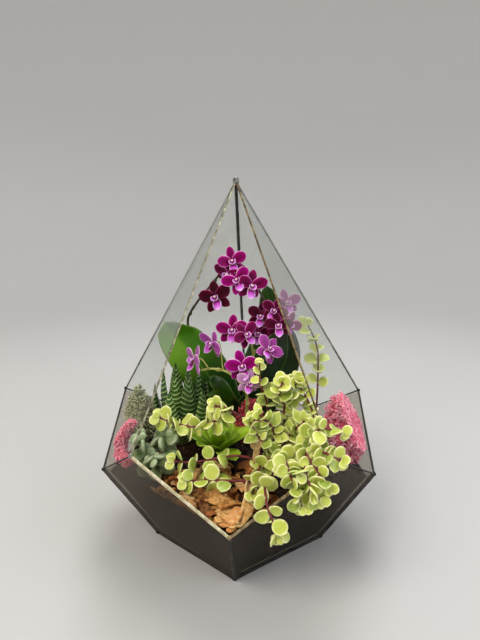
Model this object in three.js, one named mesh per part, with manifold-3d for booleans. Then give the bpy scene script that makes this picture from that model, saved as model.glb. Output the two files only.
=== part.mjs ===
// Geometric glass terrarium planted with an orchid, succulents and moss.
// Millimetres, +Z up. The origin is the middle of the base, on the surface it stands on,
// and the open pane faces -Y.

import * as THREE from 'three';
import { ConvexGeometry } from 'three/addons/geometries/ConvexGeometry.js';
import { mergeVertices } from 'three/addons/utils/BufferGeometryUtils.js';
import Module from 'manifold-3d';

const wasm = await Module();
wasm.setup();

// Vessel: a five-sided body whose waist corners stand on one ring
const SIDES = 5;
const RING_RADIUS = 160;
const APEX_HEIGHT = 412;
const SHOULDER_HEIGHT = 155;
const BASE_MIDDLE = 2;
const GLASS = 2.6;
const FOIL = 3.4;
const BASE_THICKNESS = 2 * BASE_MIDDLE;
const SEAM_WIDTH = 1.5;
const RIM_WIDTH = 2.2;
const APEX_BALL = 5.2;
const GAP = 0.3;

// Soil mound and bark
const SOIL_EDGE = 88;
const SOIL_RISE = 24;
const SOIL_CELLS = 8;
const BARK_DEPTH = 2.4;
const BARK_CENTRE = [-22, -106];
const BARK_REACH = [66, 42];
const BARK_CHIPS = 10;
const ROOT_DEPTH = 7;

// Orchid bloom, in its own frame: it faces +Z and its top sepal points to +Y
const SEPAL = { length: 16.2, width: 11.4 };
const PETAL = { length: 17.8, width: 15 };
const LIP = { length: 13.6, width: 11 };
const PETAL_THICKNESS = 1.3;
const SPIKE_RADIUS = 1.5;
const PEDICEL_RADIUS = 0.8;

// Jade-like trailing leaves
const LEAF = { length: 16.5, width: 15, thickness: 2 };
const STEM_RADIUS = 1.3;
const STEM_SIDES = 3;
const STEM_STEPS = 1.2;
const LIGHT = [0.05, -0.85, 0.52];

const colour = {
  glass: { color: '#dfe6e4', roughness: 0.05, metalness: 0 },
  smoked: { color: '#2b2a29', roughness: 0.08, metalness: 0 },
  patina: { color: '#6f6a60', roughness: 0.35, metalness: 1 },
  brass: { color: '#b8ab86', roughness: 0.3, metalness: 1 },
  soil: { color: '#2a1d14', roughness: 1, metalness: 0 },
  bark: { color: '#9a5a2c', roughness: 0.9, metalness: 0 },
  pinkMoss: { color: '#e0566f', roughness: 1, metalness: 0 },
  redMoss: { color: '#b3202f', roughness: 1, metalness: 0 },
  greenMoss: { color: '#7d8a45', roughness: 1, metalness: 0 },
  orchidLeaf: { color: '#2c6a1c', roughness: 0.4, metalness: 0 },
  spike: { color: '#5b5a2c', roughness: 0.6, metalness: 0 },
  bloom: { color: '#9a1280', roughness: 0.5, metalness: 0 },
  zebra: { color: '#2f5a2c', roughness: 0.5, metalness: 0 },
  jade: { color: '#6f8b6c', roughness: 0.5, metalness: 0 },
  rosette: { color: '#79a829', roughness: 0.45, metalness: 0 },
  variegated: { color: '#b9cf62', roughness: 0.45, metalness: 0 },
};

const vec = (x, y, z) => new THREE.Vector3(x, y, z);
const point = (list) => new THREE.Vector3(...list);
const radians = THREE.MathUtils.degToRad;

// A repeatable draw between 0 and 1
function dice(seed) {
  let state = seed;
  return () => {
    state = (state * 16807) % 2147483647;
    return state / 2147483647;
  };
}

// Turn between one repeat and the next, which spreads them evenly
const GOLDEN_TURN = 2.39996;

// Solids

function closed(points, triangles) {
  const geometry = new THREE.BufferGeometry();
  geometry.setAttribute('position', new THREE.Float32BufferAttribute(points.flatMap((p) => p.toArray()), 3));
  geometry.setIndex(triangles.flat());
  return geometry;
}

function bareOf(geometry) {
  const bare = geometry.clone();
  bare.deleteAttribute('normal');
  bare.deleteAttribute('uv');
  return bare;
}

function solid(geometry) {
  const merged = mergeVertices(bareOf(geometry), 1e-4);
  return new wasm.Manifold(new wasm.Mesh({
    numProp: 3,
    vertProperties: Float32Array.from(merged.attributes.position.array),
    triVerts: Uint32Array.from(merged.index.array),
  }));
}

function geometryOf(body) {
  const mesh = body.getMesh();
  const geometry = new THREE.BufferGeometry();
  geometry.setAttribute('position', new THREE.Float32BufferAttribute(mesh.vertProperties, 3));
  geometry.setIndex([...mesh.triVerts]);
  return geometry;
}

function joined(bodies) {
  let list = bodies;
  while (list.length > 1) {
    const next = [];
    for (let i = 0; i < list.length; i += 2) {
      next.push(i + 1 < list.length ? list[i].add(list[i + 1]) : list[i]);
    }
    list = next;
  }
  return list[0];
}

// The largest connected piece, without loose scraps or sealed hollows
function largest(body) {
  return body.decompose().reduce((best, piece) => (piece.volume() > best.volume() ? piece : best));
}

function loft(sections) {
  const sides = sections[0].length;
  const last = (sections.length - 1) * sides;
  const triangles = [];
  for (let row = 0; row < sections.length - 1; row += 1) {
    for (let i = 0; i < sides; i += 1) {
      const a = row * sides + i;
      const b = row * sides + ((i + 1) % sides);
      triangles.push([a, b, b + sides], [a, b + sides, a + sides]);
    }
  }
  for (let i = 1; i < sides - 1; i += 1) {
    triangles.push([0, i + 1, i], [last, last + i, last + i + 1]);
  }
  return closed(sections.flat(), triangles);
}

function tube(points, radius, sides, steps) {
  const shape = new THREE.Shape();
  for (let i = 0; i < sides; i += 1) {
    const turn = (i / sides) * 2 * Math.PI;
    const spot = [radius * Math.cos(turn), radius * Math.sin(turn)];
    if (i === 0) {
      shape.moveTo(...spot);
    } else {
      shape.lineTo(...spot);
    }
  }
  const path = new THREE.CatmullRomCurve3(points);
  return new THREE.ExtrudeGeometry(shape, { steps, extrudePath: path, bevelEnabled: false });
}

// A thick leaf: a flat outline swollen to a crown on both faces
function lens(outline, crown, thickness, bend = () => 0) {
  const rim = outline.map(([x, y]) => vec(x, y, bend(x, y)));
  const count = rim.length;
  const top = vec(crown, 0, bend(crown, 0) + thickness / 2);
  const under = vec(crown, 0, bend(crown, 0) - thickness / 2);
  const triangles = [];
  for (let i = 0; i < count; i += 1) {
    const j = (i + 1) % count;
    triangles.push([i, j, count], [j, i, count + 1]);
  }
  return closed([...rim, top, under], triangles);
}

// An outline from its right half, given as [share of length, share of half width]
function mirrored(half, length, width) {
  const right = half.map(([along, out]) => [along * length, -out * width / 2]);
  const left = right.filter(([, out]) => out !== 0).map(([along, out]) => [along, -out]).reverse();
  return [...right, ...left];
}

// Moves a geometry so that its +X runs along axis and its +Z lies nearest to normal
function placed(geometry, origin, axis, normal) {
  const x = axis.clone().normalize();
  const y = normal.clone().cross(x).normalize();
  const z = x.clone().cross(y);
  const frame = new THREE.Matrix4().makeBasis(x, y, z).setPosition(origin);
  return geometry.clone().applyMatrix4(frame);
}

// Vessel

const ringPoint = (radius, degrees, height) => vec(
  radius * Math.sin(radians(degrees)),
  -radius * Math.cos(radians(degrees)),
  height,
);
const STEP = 360 / SIDES;
const shoulderReach = RING_RADIUS * Math.cos(radians(STEP / 2));
const roofDrop = (APEX_HEIGHT - SHOULDER_HEIGHT) / shoulderReach;
const valleyHeight = APEX_HEIGHT - roofDrop * RING_RADIUS;
const wallSlope = (SHOULDER_HEIGHT - valleyHeight) / (RING_RADIUS - shoulderReach);
const footReach = shoulderReach - (valleyHeight - BASE_MIDDLE) / wallSlope;
const footRadius = footReach / Math.cos(radians(STEP / 2));

const apex = vec(0, 0, APEX_HEIGHT);
const around = [...Array(SIDES).keys()];
const valleys = around.map((k) => ringPoint(RING_RADIUS, k * STEP, valleyHeight));
const shoulders = around.map((k) => ringPoint(RING_RADIUS, (k + 0.5) * STEP, SHOULDER_HEIGHT));
const feet = around.map((k) => ringPoint(footRadius, k * STEP, BASE_MIDDLE));
const before = (k) => (k + SIDES - 1) % SIDES;
const after = (k) => (k + 1) % SIDES;

// Each face is listed against the clock as seen from outside
function face(name, corners) {
  const normal = corners[1].clone().sub(corners[0]).cross(corners[2].clone().sub(corners[0])).normalize();
  return { name, corners, normal, distance: normal.dot(corners[0]) };
}
const ROOF_NAMES = ['mouth', 'right_front', 'right_back', 'left_back', 'left_front'];
const WALL_NAMES = ['right_front', 'right_back', 'back', 'left_back', 'left_front'];
const roofs = around.map((k) => face(ROOF_NAMES[k], [apex, shoulders[before(k)], valleys[k], shoulders[k]]));
const walls = around.map((k) => face(
  WALL_NAMES[k],
  [valleys[k], feet[k], feet[after(k)], valleys[after(k)], shoulders[k]],
));
const base = face('base', [...feet].reverse());
const mouth = roofs[0];
const panes = [...roofs.slice(1), ...walls, base];
const faces = [...roofs, ...walls, base];

function meet(planes) {
  const rows = planes.flatMap((plane) => plane.normal.toArray());
  const inverse = new THREE.Matrix3().set(...rows).invert();
  return vec(...planes.map((plane) => plane.distance)).applyMatrix3(inverse);
}

function neighbour(pane, from, to) {
  return faces.find((other) => other !== pane && other.corners.includes(from) && other.corners.includes(to));
}

// The plane that ends a pane at one of its edges: halfway to its neighbour, or square at the mouth
function edgePlane(pane, index, inset, clearance) {
  const from = pane.corners[index];
  const to = pane.corners[(index + 1) % pane.corners.length];
  const run = to.clone().sub(from).normalize();
  const inward = pane.normal.clone().cross(run);
  const other = neighbour(pane, from, to);
  const open = other === mouth;
  const lean = open ? pane.normal : pane.normal.clone().add(other.normal);
  const normal = lean.clone().cross(run).normalize();
  const width = inset * (open ? RIM_WIDTH : SEAM_WIDTH) * normal.dot(inward);
  return { normal, distance: normal.dot(from) + width + clearance };
}

function outlineOf(pane, level, inset, clearance) {
  const surface = { normal: pane.normal, distance: pane.distance + level };
  const edges = pane.corners.map((_, i) => edgePlane(pane, i, inset, clearance));
  return edges.map((edge, i) => meet([surface, edges[(i + edges.length - 1) % edges.length], edge]));
}

function glassPane(pane, thickness) {
  const levels = [-thickness / 2, thickness / 2];
  return loft(levels.map((level) => outlineOf(pane, level, 1, GAP + GAP / 2)));
}

// The foil that wraps a pane's edge, mitred against the next pane's foil
function foilRing(pane) {
  const half = (pane === base ? BASE_THICKNESS : FOIL) / 2;
  const loops = [
    outlineOf(pane, -half, 0, GAP / 2),
    outlineOf(pane, half, 0, GAP / 2),
    outlineOf(pane, half, 1, GAP / 2),
    outlineOf(pane, -half, 1, GAP / 2),
  ];
  const count = pane.corners.length;
  const triangles = [];
  loops.forEach((_, row) => {
    const next = ((row + 1) % loops.length) * count;
    for (let i = 0; i < count; i += 1) {
      const a = row * count + i;
      const b = row * count + ((i + 1) % count);
      const c = next + i;
      const d = next + ((i + 1) % count);
      triangles.push([a, b, d], [a, d, c]);
    }
  });
  return closed(loops.flat(), triangles);
}

function solderBall(radius) {
  const ball = new THREE.IcosahedronGeometry(radius, 1);
  ball.translate(0, 0, APEX_HEIGHT);
  return solid(ball);
}

// The room inside the glass, kept clear of the foil by the given gap
function roomInside(gap) {
  const inner = (side) => ({ normal: side.normal, distance: side.distance - BASE_THICKNESS / 2 - gap });
  const corners = [meet([roofs[0], roofs[1], roofs[3]].map(inner))];
  around.forEach((k) => {
    corners.push(meet([roofs[k], walls[k], walls[before(k)]].map(inner)));
    corners.push(meet([roofs[k], roofs[after(k)], walls[k]].map(inner)));
    corners.push(meet([base, walls[k], walls[before(k)]].map(inner)));
  });
  return solid(new ConvexGeometry(corners));
}

// Soil, bark and moss

function soilHeight(x, y) {
  const reach = (x * x + y * y) / (RING_RADIUS * RING_RADIUS);
  const bumps = 1.4 * Math.sin(x * 0.11 + 1) * Math.cos(y * 0.13) + 0.8 * Math.sin(x * 0.31 + y * 0.23);
  return SOIL_EDGE + SOIL_RISE * (1 - reach) + bumps;
}

// Everything below the soil's surface, raised by the given height
function ground(raise) {
  const span = 2 * RING_RADIUS;
  const block = new THREE.BoxGeometry(span, span, 1, SOIL_CELLS, SOIL_CELLS, 1);
  const spots = block.attributes.position;
  for (let i = 0; i < spots.count; i += 1) {
    const top = spots.getZ(i) > 0;
    const x = spots.getX(i);
    const y = spots.getY(i);
    spots.setZ(i, top ? soilHeight(x, y) + raise : -span);
  }
  return solid(block);
}
const aboveSoil = ground(GAP);
const plantRoom = roomInside(GAP);

function plug(x, y, radius, deep, high) {
  const peg = new THREE.CylinderGeometry(radius, radius, deep + high, 5);
  peg.rotateX(Math.PI / 2);
  peg.translate(x, y, soilHeight(x, y) + (high - deep) / 2);
  return solid(peg);
}

const holes = [];
function rooted(x, y, radius, high) {
  holes.push(plug(x, y, radius + GAP, ROOT_DEPTH + GAP, 2 * ROOT_DEPTH));
  return plug(x, y, radius, ROOT_DEPTH, high);
}

function barkChip(draw) {
  const length = 18 + 14 * draw();
  const chip = new THREE.BoxGeometry(length, 9 + 5 * draw(), 2.4 + 1.8 * draw());
  const spots = chip.attributes.position;
  const shrink = new Map();
  for (let i = 0; i < spots.count; i += 1) {
    const key = [spots.getX(i), spots.getY(i), spots.getZ(i)].map(Math.sign).join();
    if (!shrink.has(key)) {
      shrink.set(key, 0.62 + 0.38 * draw());
    }
    spots.setX(i, spots.getX(i) * shrink.get(key));
    spots.setY(i, spots.getY(i) * shrink.get(key));
  }
  chip.rotateX(radians(50 * (draw() - 0.5)));
  chip.rotateY(radians(34 * (draw() - 0.5)));
  chip.rotateZ(radians(360 * draw()));
  return chip;
}

function barkMulch() {
  const draw = dice(41);
  const pad = new THREE.CylinderGeometry(1, 1, 2 * APEX_HEIGHT, 12);
  pad.rotateX(Math.PI / 2);
  pad.scale(BARK_REACH[0], BARK_REACH[1], 1);
  pad.translate(BARK_CENTRE[0], BARK_CENTRE[1], 0);
  const mat = ground(BARK_DEPTH).intersect(solid(pad));
  const chips = [];
  for (let i = 0; i < BARK_CHIPS; i += 1) {
    const turn = i * GOLDEN_TURN;
    const reach = Math.sqrt((i + 0.5) / BARK_CHIPS) * 0.93;
    const x = BARK_CENTRE[0] + BARK_REACH[0] * reach * Math.cos(turn);
    const y = BARK_CENTRE[1] + BARK_REACH[1] * reach * Math.sin(turn);
    const chip = barkChip(draw);
    chip.translate(x, y, soilHeight(x, y) + BARK_DEPTH + 1.5 * draw());
    chips.push(solid(chip));
  }
  const lump = new THREE.IcosahedronGeometry(9, 1);
  lump.scale(1, 0.8, 0.8);
  lump.translate(-20, -112, soilHeight(-20, -112) + 5);
  return largest(joined([mat, ...chips, solid(lump)]).subtract(aboveSoil).intersect(plantRoom));
}

const MOSS_DETAIL = 3;

// A direction that the roll of moss is nearly square to all along its length
const ROLL_SIDE = [0.8, 0.6, 0];
const ROLL_SPINE = [
  [-116, -56, 99], [-131, -36, 100], [-142, -19, 103], [-138, -17, 120], [-126, -27, 138], [-113, -43, 151],
];

// A clump of branching moss: points on a ball, drawn out in turn into tufts. A roll of moss has its
// ball drawn out along a curve instead, and is thinner towards the end of it.
function mossClump({ centre, reach, spine, thick, seed }) {
  const draw = dice(seed);
  const clump = mergeVertices(bareOf(new THREE.IcosahedronGeometry(1, MOSS_DETAIL)), 1e-4);
  const spots = clump.attributes.position;
  const curve = spine && new THREE.CatmullRomCurve3(spine.map(point));
  for (let i = 0; i < spots.count; i += 1) {
    const out = vec(spots.getX(i), spots.getY(i), spots.getZ(i));
    const tuft = i % 3 === 0 ? 1.0 + 0.16 * draw() : 0.74 + 0.12 * draw();
    const taper = 1 - 0.28 * out.z;
    out.multiply(vec(taper, taper, 1));
    if (curve) {
      const along = (out.z + 1) / 2;
      const tangent = curve.getTangentAt(along);
      const side = point(ROLL_SIDE).cross(tangent).normalize();
      const spot = curve.getPointAt(along).addScaledVector(side, out.x * tuft * thick);
      out.copy(spot.addScaledVector(tangent.cross(side), out.y * tuft * thick));
    } else {
      out.multiplyScalar(tuft).multiply(point(reach)).add(point(centre));
    }
    spots.setXYZ(i, out.x, out.y, out.z);
  }
  return largest(solid(clump).subtract(aboveSoil).intersect(plantRoom));
}

const MOSS = [
  { name: 'pink_moss_right', paint: 'pinkMoss', centre: [125, -12, 130], reach: [27, 28, 47], seed: 5 },
  { name: 'pink_moss_left', paint: 'pinkMoss', spine: ROLL_SPINE, thick: 7.5, seed: 7 },
  { name: 'red_moss_middle', paint: 'redMoss', centre: [14, -2, 130], reach: [15, 12, 32], seed: 9 },
  { name: 'green_moss_left', paint: 'greenMoss', centre: [-128, 26, 126], reach: [20, 26, 38], seed: 11 },
];

// Orchid

const PETAL_HALF = [[0, 0], [0.45, 1], [0.85, 0.75], [1, 0]];
const SEPAL_HALF = [[0, 0], [0.45, 1], [0.85, 0.7], [1, 0]];
const LIP_HALF = [[0, 0], [0.5, 1], [1, 0.25]];

// One part of a bloom, pointing at the given angle from its top and leaning forward
function bloomPart({ half, length, width, angle, forward, level, cup }) {
  const outline = mirrored(half, length, width);
  const bend = (x, y) => cup * ((x / length) ** 2 + 2 * (y / width) ** 2);
  const part = lens(outline, length * 0.55, PETAL_THICKNESS, bend);
  const turn = radians(90 - angle);
  const axis = vec(Math.cos(turn), Math.sin(turn), Math.tan(radians(forward)));
  const origin = vec(0.6 * Math.cos(turn), 0.6 * Math.sin(turn), level);
  return placed(part, origin, axis, vec(0, 0, 1));
}

function bloomShape(scale) {
  const sepal = { half: SEPAL_HALF, ...SEPAL, level: -0.8, cup: -1.6 };
  const petal = { half: PETAL_HALF, ...PETAL, level: 0.8, cup: -1.2 };
  const parts = [
    bloomPart({ ...sepal, angle: 0, forward: 2 }),
    bloomPart({ ...sepal, angle: 134, forward: -2 }),
    bloomPart({ ...sepal, angle: -134, forward: -2 }),
    bloomPart({ ...petal, angle: 70, forward: 7 }),
    bloomPart({ ...petal, angle: -70, forward: 7 }),
    bloomPart({ half: LIP_HALF, ...LIP, angle: 180, forward: 45, level: 0.6, cup: -3 }),
  ];
  const column = new THREE.CylinderGeometry(1.2, 2.6, 6.5, 3);
  column.rotateX(Math.PI / 2);
  column.translate(0, 0.6, 1.6);
  const shape = joined([...parts.map(solid), solid(column)]);
  return geometryOf(shape).scale(scale, scale, scale);
}

// Where a bloom sits: its middle, the way it faces, its turn about that line, its size,
// and the spot of the spike that its stalk grows from
const BLOOMS = {
  orchid_bloom_crown: [
    { at: [-4, -20, 327], look: [0.1, -1, 0.1], roll: -12, size: 0.95, from: [-1, -6, 325] },
    { at: [-9, -24, 314], look: [-0.35, -1, -0.25], roll: 20, size: 0.9, from: [-13, -2, 317] },
    { at: [2, -32, 308], look: [-0.1, -1, 0.15], roll: -25, size: 0.95, from: [10, -8, 317] },
    { at: [17, -30, 302], look: [0.3, -1, -0.1], roll: 8, size: 1, from: [23, -8, 298] },
  ],
  orchid_bloom_upper_left: [
    { at: [-22, -26, 289], look: [-0.1, -1, 0.05], roll: -18, size: 1.05, from: [-30, 8, 298] },
  ],
  orchid_bloom_side: [
    { at: [27, -22, 267], look: [-0.1, -1, 0.1], roll: 6, size: 0.9, from: [33, -8, 279] },
  ],
  orchid_bloom_by_glass: [
    { at: [57, 14, 276], look: [0.3, -1, 0.2], roll: -10, size: 0.95, from: [44, -6, 268] },
  ],
  orchid_bloom_behind_seam: [
    { at: [60, 4, 252], look: [0.6, -1, 0.1], roll: 30, size: 0.9, from: [49, -5, 262] },
  ],
  orchid_bloom_right_pair: [
    { at: [46, -36, 260], look: [0, -1, 0.05], roll: -6, size: 0.9, from: [47, -6, 263] },
    { at: [42, -31, 275], look: [-0.2, -1, 0.1], roll: 25, size: 0.85, from: [40, -7, 272] },
  ],
  orchid_bloom_inner: [
    { at: [25, -18, 246], look: [-0.2, -1, 0.2], roll: 5, size: 0.9, from: [17, -20, 234] },
  ],
  orchid_bloom_middle: [
    { at: [-4, -34, 254], look: [0, -1, 0.1], roll: 0, size: 1, from: [12, -24, 250] },
    { at: [11, -38, 250], look: [0.5, -1, 0.2], roll: -30, size: 0.9, from: [14, -22, 242] },
  ],
  orchid_bloom_middle_left: [
    { at: [-24, -44, 242], look: [-0.6, -1, -0.1], roll: 35, size: 0.95, from: [-14, -39, 210] },
  ],
  orchid_bloom_low_left: [
    { at: [-43, -53, 226], look: [-0.8, -0.8, 0], roll: 15, size: 0.95, from: [-29, -42, 212] },
  ],
  orchid_bloom_low: [
    { at: [8, -56, 220], look: [0, -1, 0.15], roll: -14, size: 1.05, from: [0, -34, 196] },
    { at: [15, -64, 205], look: [0.2, -1, 0.1], roll: 12, size: 0.8, from: [8, -30, 186] },
  ],
  orchid_bloom_low_right: [
    { at: [35, -46, 236], look: [0.6, -1, 0.5], roll: 40, size: 0.95, from: [19, -16, 226] },
  ],
};

// A bloom with its stalk, which runs to the spike
function orchidBloom({ at, look, roll, size, from }) {
  const forward = point(look).normalize();
  const side = vec(0, 0, 1).cross(forward).normalize();
  const up = forward.clone().cross(side);
  const lean = radians(roll);
  const top = up.clone().multiplyScalar(Math.cos(lean)).addScaledVector(side, Math.sin(lean));
  const across = top.clone().cross(forward);
  const frame = new THREE.Matrix4().makeBasis(across, top, forward).setPosition(point(at));
  const flower = bloomShape(size).applyMatrix4(frame);
  const start = point(at).addScaledVector(forward, 0.5);
  const behind = point(at).addScaledVector(forward, -7);
  const stalk = tube([start, behind, point(from)], PEDICEL_RADIUS, 3, 3);
  return solid(flower).add(solid(stalk));
}

const SPIKES = {
  orchid_spike_upper: [[
    [-30, 50, 108], [-46, 56, 160], [-62, 56, 215], [-66, 48, 247], [-52, 30, 272], [-36, 13, 291],
    [-19, 1, 311], [-1, -6, 325], [17, -8, 309], [31, -8, 282], [49, -6, 260],
  ]],
  orchid_spike_lower: [
    [[4, 14, 112], [10, -10, 150], [9, -28, 184], [-9, -38, 207], [-24, -41, 212], [-38, -42, 211]],
    [[9, -27, 180], [18, -18, 210], [17, -20, 234], [13, -24, 248]],
  ],
};

const LEAF_STATIONS = 6;
const LEAF_COLUMNS = 2;

// A strap leaf along a curve, folded along its rib, split alike on both faces. The higher fullest
// is, the nearer to its tip the leaf is widest.
function strapLeaf({ spine, width, facing, fold, fullest }) {
  const path = new THREE.CatmullRomCurve3(spine.map(point));
  const outward = point(facing).normalize();
  const grid = (offset) => {
    const rows = [];
    for (let i = 0; i <= LEAF_STATIONS; i += 1) {
      const along = i / LEAF_STATIONS;
      const middle = path.getPointAt(along);
      const side = path.getTangentAt(along).cross(outward).normalize();
      const lift = side.clone().cross(path.getTangentAt(along)).normalize();
      const swell = Math.sin(Math.PI * Math.min(along ** fullest * 0.86 + 0.12, 1)) ** 0.45;
      const half = Math.max(width / 2 * swell, STRAP_TIP);
      for (let j = 0; j <= LEAF_COLUMNS; j += 1) {
        const across = (2 * j) / LEAF_COLUMNS - 1;
        rows.push(middle.clone()
          .addScaledVector(side, half * across)
          .addScaledVector(lift, fold * half * Math.abs(across) ** 1.5 + offset));
      }
    }
    return rows;
  };
  return skinned(grid(STRAP_THICKNESS / 2), grid(-STRAP_THICKNESS / 2), LEAF_STATIONS, LEAF_COLUMNS);
}

// Closes two alike grids of points into one thin body
function skinned(upper, lower, rows, columns) {
  const wide = columns + 1;
  const under = upper.length;
  const triangles = [];
  for (let i = 0; i < rows; i += 1) {
    for (let j = 0; j < columns; j += 1) {
      const a = i * wide + j;
      const c = a + wide;
      triangles.push([a, a + 1, c + 1], [a, c + 1, c]);
      triangles.push([under + a, under + c + 1, under + a + 1], [under + a, under + c, under + c + 1]);
    }
  }
  const edge = [];
  for (let j = 0; j < columns; j += 1) edge.push(j);
  for (let i = 0; i < rows; i += 1) edge.push(i * wide + columns);
  for (let j = columns; j > 0; j -= 1) edge.push(rows * wide + j);
  for (let i = rows; i > 0; i -= 1) edge.push(i * wide);
  edge.forEach((a, i) => {
    const b = edge[(i + 1) % edge.length];
    triangles.push([a, under + a, under + b], [a, under + b, b]);
  });
  return closed([...upper, ...lower], triangles);
}

const ORCHID_CROWN = [-8, 34];
const ORCHID_LEAVES = [
  {
    spine: [[-10, 36, 116], [-32, 40, 163], [-62, 41, 207], [-80, 37, 230], [-91, 28, 249]],
    width: 64, facing: [-0.25, -0.9, 0.35], fold: 0.12, fullest: 1.4,
  },
  {
    spine: [[-4, 36, 116], [22, 40, 175], [40, 42, 240], [34, 38, 292]],
    width: 50, facing: [-0.1, -1, 0.15], fold: 0.1, fullest: 0.75,
  },
  {
    spine: [[0, 32, 116], [34, 28, 160], [58, 27, 205], [58, 28, 246]],
    width: 44, facing: [0.1, -1, 0.25], fold: 0.14, fullest: 0.75,
  },
  {
    spine: [[-10, 26, 116], [-20, 8, 150], [-26, -4, 176], [-32, -18, 190]],
    width: 40, facing: [-0.1, -0.7, 0.7], fold: 0.16, fullest: 0.75,
  },
];
const STRAP_THICKNESS = 1.8;
const STRAP_TIP = 3;

function orchidLeaves() {
  const leaves = ORCHID_LEAVES.map((leaf) => solid(strapLeaf(leaf)));
  const [x, y] = ORCHID_CROWN;
  const crown = new THREE.SphereGeometry(8, 6, 4);
  crown.translate(x, y, soilHeight(x, y) + 6);
  const top = joined([...leaves, solid(crown)]).subtract(aboveSoil).intersect(plantRoom);
  return largest(top.add(rooted(x, y, 5, 4)));
}

function spikeTubes(branches, radius) {
  return joined(branches.map((branch) => solid(tube(branch.map(point), radius, 5, branch.length * 2))));
}

function orchidSpike(branches) {
  const [x, y] = branches[0][0];
  const stalk = spikeTubes(branches, SPIKE_RADIUS);
  return largest(stalk.subtract(aboveSoil).add(rooted(x, y, SPIKE_RADIUS + GAP, 4)));
}

// Zebra plant: a rosette of stout pointed leaves with raised bands across their backs

const ZEBRA_CENTRE = [-68, 2];
const ZEBRA_BANDS = 4;
const ZEBRA_WIDTH = 25;
const ZEBRA_RINGS = [
  { count: 2, lean: 8, length: 90, turn: 240 },
  { count: 4, lean: 18, length: 96, turn: 300 },
  { count: 5, lean: 36, length: 80, turn: 254 },
];

function zebraLeaf(length, width, turn, lean) {
  const sections = [];
  const rows = ZEBRA_BANDS * 2;
  for (let i = 0; i <= rows; i += 1) {
    const along = i / rows;
    const half = Math.max((width / 2) * (1 - along ** 2.4) ** 0.85, 0.6);
    const band = i % 2 === 1 && i < rows - 1 ? 0.7 : 0;
    const tilt = radians(lean * (1.25 - 0.7 * along));
    const reach = length * along;
    const middle = vec(5 + reach * Math.sin(tilt), 0, reach * Math.cos(tilt));
    const outward = vec(Math.cos(tilt), 0, -Math.sin(tilt));
    sections.push([
      middle.clone().add(vec(0, half + band, 0)),
      middle.clone().add(vec(0, -half - band, 0)),
      middle.clone().addScaledVector(outward, half * 0.6 + band),
    ]);
  }
  return loft(sections).rotateZ(radians(turn));
}

function zebraPlant() {
  const [x, y] = ZEBRA_CENTRE;
  const foot = soilHeight(x, y) - 1;
  const leaves = [];
  ZEBRA_RINGS.forEach(({ count, lean, length, turn }) => {
    for (let i = 0; i < count; i += 1) {
      const leaf = zebraLeaf(length, ZEBRA_WIDTH, turn + (360 * i) / count, lean);
      leaf.translate(x, y, foot);
      leaves.push(solid(leaf));
    }
  });
  const crown = new THREE.SphereGeometry(9, 6, 4);
  crown.translate(x, y, foot + 5);
  return largest(joined([...leaves, solid(crown)]).subtract(aboveSoil).intersect(plantRoom)
    .add(rooted(x, y, 6, 4)));
}

// Green rosette of pointed strap leaves

const ROSETTE_CENTRE = [-20, -43];
const ROSETTE_LEAVES = 12;
const ROSETTE_HALF = [[0, 0], [0.35, 0.8], [0.8, 0.85], [1, 0]];

function rosettePlant() {
  const [x, y] = ROSETTE_CENTRE;
  const foot = soilHeight(x, y) + 7;
  const draw = dice(23);
  const leaves = [];
  for (let i = 0; i < ROSETTE_LEAVES; i += 1) {
    const age = i / (ROSETTE_LEAVES - 1);
    const turn = i * GOLDEN_TURN;
    const length = 28 + 24 * age + 4 * draw();
    const width = 14 + 6 * age;
    const rise = radians(70 - 56 * age);
    const axis = vec(Math.cos(turn) * Math.cos(rise), Math.sin(turn) * Math.cos(rise), Math.sin(rise));
    const bend = (u) => -4 * age * (u / length) ** 2;
    const leaf = lens(mirrored(ROSETTE_HALF, length, width), length * 0.6, 2.4, bend);
    leaves.push(solid(placed(leaf, vec(x, y, foot), axis, vec(0, 0, 1))));
  }
  const heart = new THREE.SphereGeometry(5, 6, 4);
  heart.scale(1, 1, 1.6);
  heart.translate(x, y, foot);
  return largest(joined([...leaves, solid(heart)]).subtract(aboveSoil).intersect(plantRoom)
    .add(rooted(x, y, 4, 6)));
}

// Leafy stems with opposite leaves

const OVATE_HALF = [[0, 0], [0.4, 0.92], [0.84, 0.85], [1, 0]];

// Every solid placed so far, so that a leaf can be turned clear of it
const neighbours = [];

function touches(a, b) {
  const one = a.boundingBox();
  const two = b.boundingBox();
  return one.min.every((low, i) => low <= two.max[i] && two.min[i] <= one.max[i]);
}

function isClear(body) {
  return neighbours.every((other) => !touches(body, other) || body.intersect(other).isEmpty());
}

function ovateLeaf(origin, axis, normal, size, extra) {
  const length = size.length + extra;
  const outline = mirrored(OVATE_HALF, length, size.width + 2 * extra);
  const leaf = lens(outline, length * 0.58, size.thickness + 3 * extra);
  return solid(placed(leaf, origin, axis, normal));
}

// A leaf facing the light, turned aside about its stem until it clears its neighbours, or left out
function fittedLeaf(origin, across, along, size, sisters) {
  for (const turn of [0, 28, -28, 56, -56]) {
    const out = across.clone().applyAxisAngle(along, radians(turn));
    const axis = out.clone().addScaledVector(along, 0.35).normalize();
    const normal = along.clone().multiplyScalar(0.5).add(point(LIGHT)).normalize();
    const leaf = ovateLeaf(origin, axis, normal, size, 0);
    const apart = sisters.every((sister) => !touches(leaf, sister) || leaf.intersect(sister).isEmpty());
    if (apart && isClear(ovateLeaf(origin, axis, normal, size, 2 * GAP))) {
      return leaf;
    }
  }
  return null;
}

function stemTube(path, radius) {
  return solid(tube(path.map(point), radius, STEM_SIDES, Math.ceil(path.length * STEM_STEPS)));
}

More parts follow.
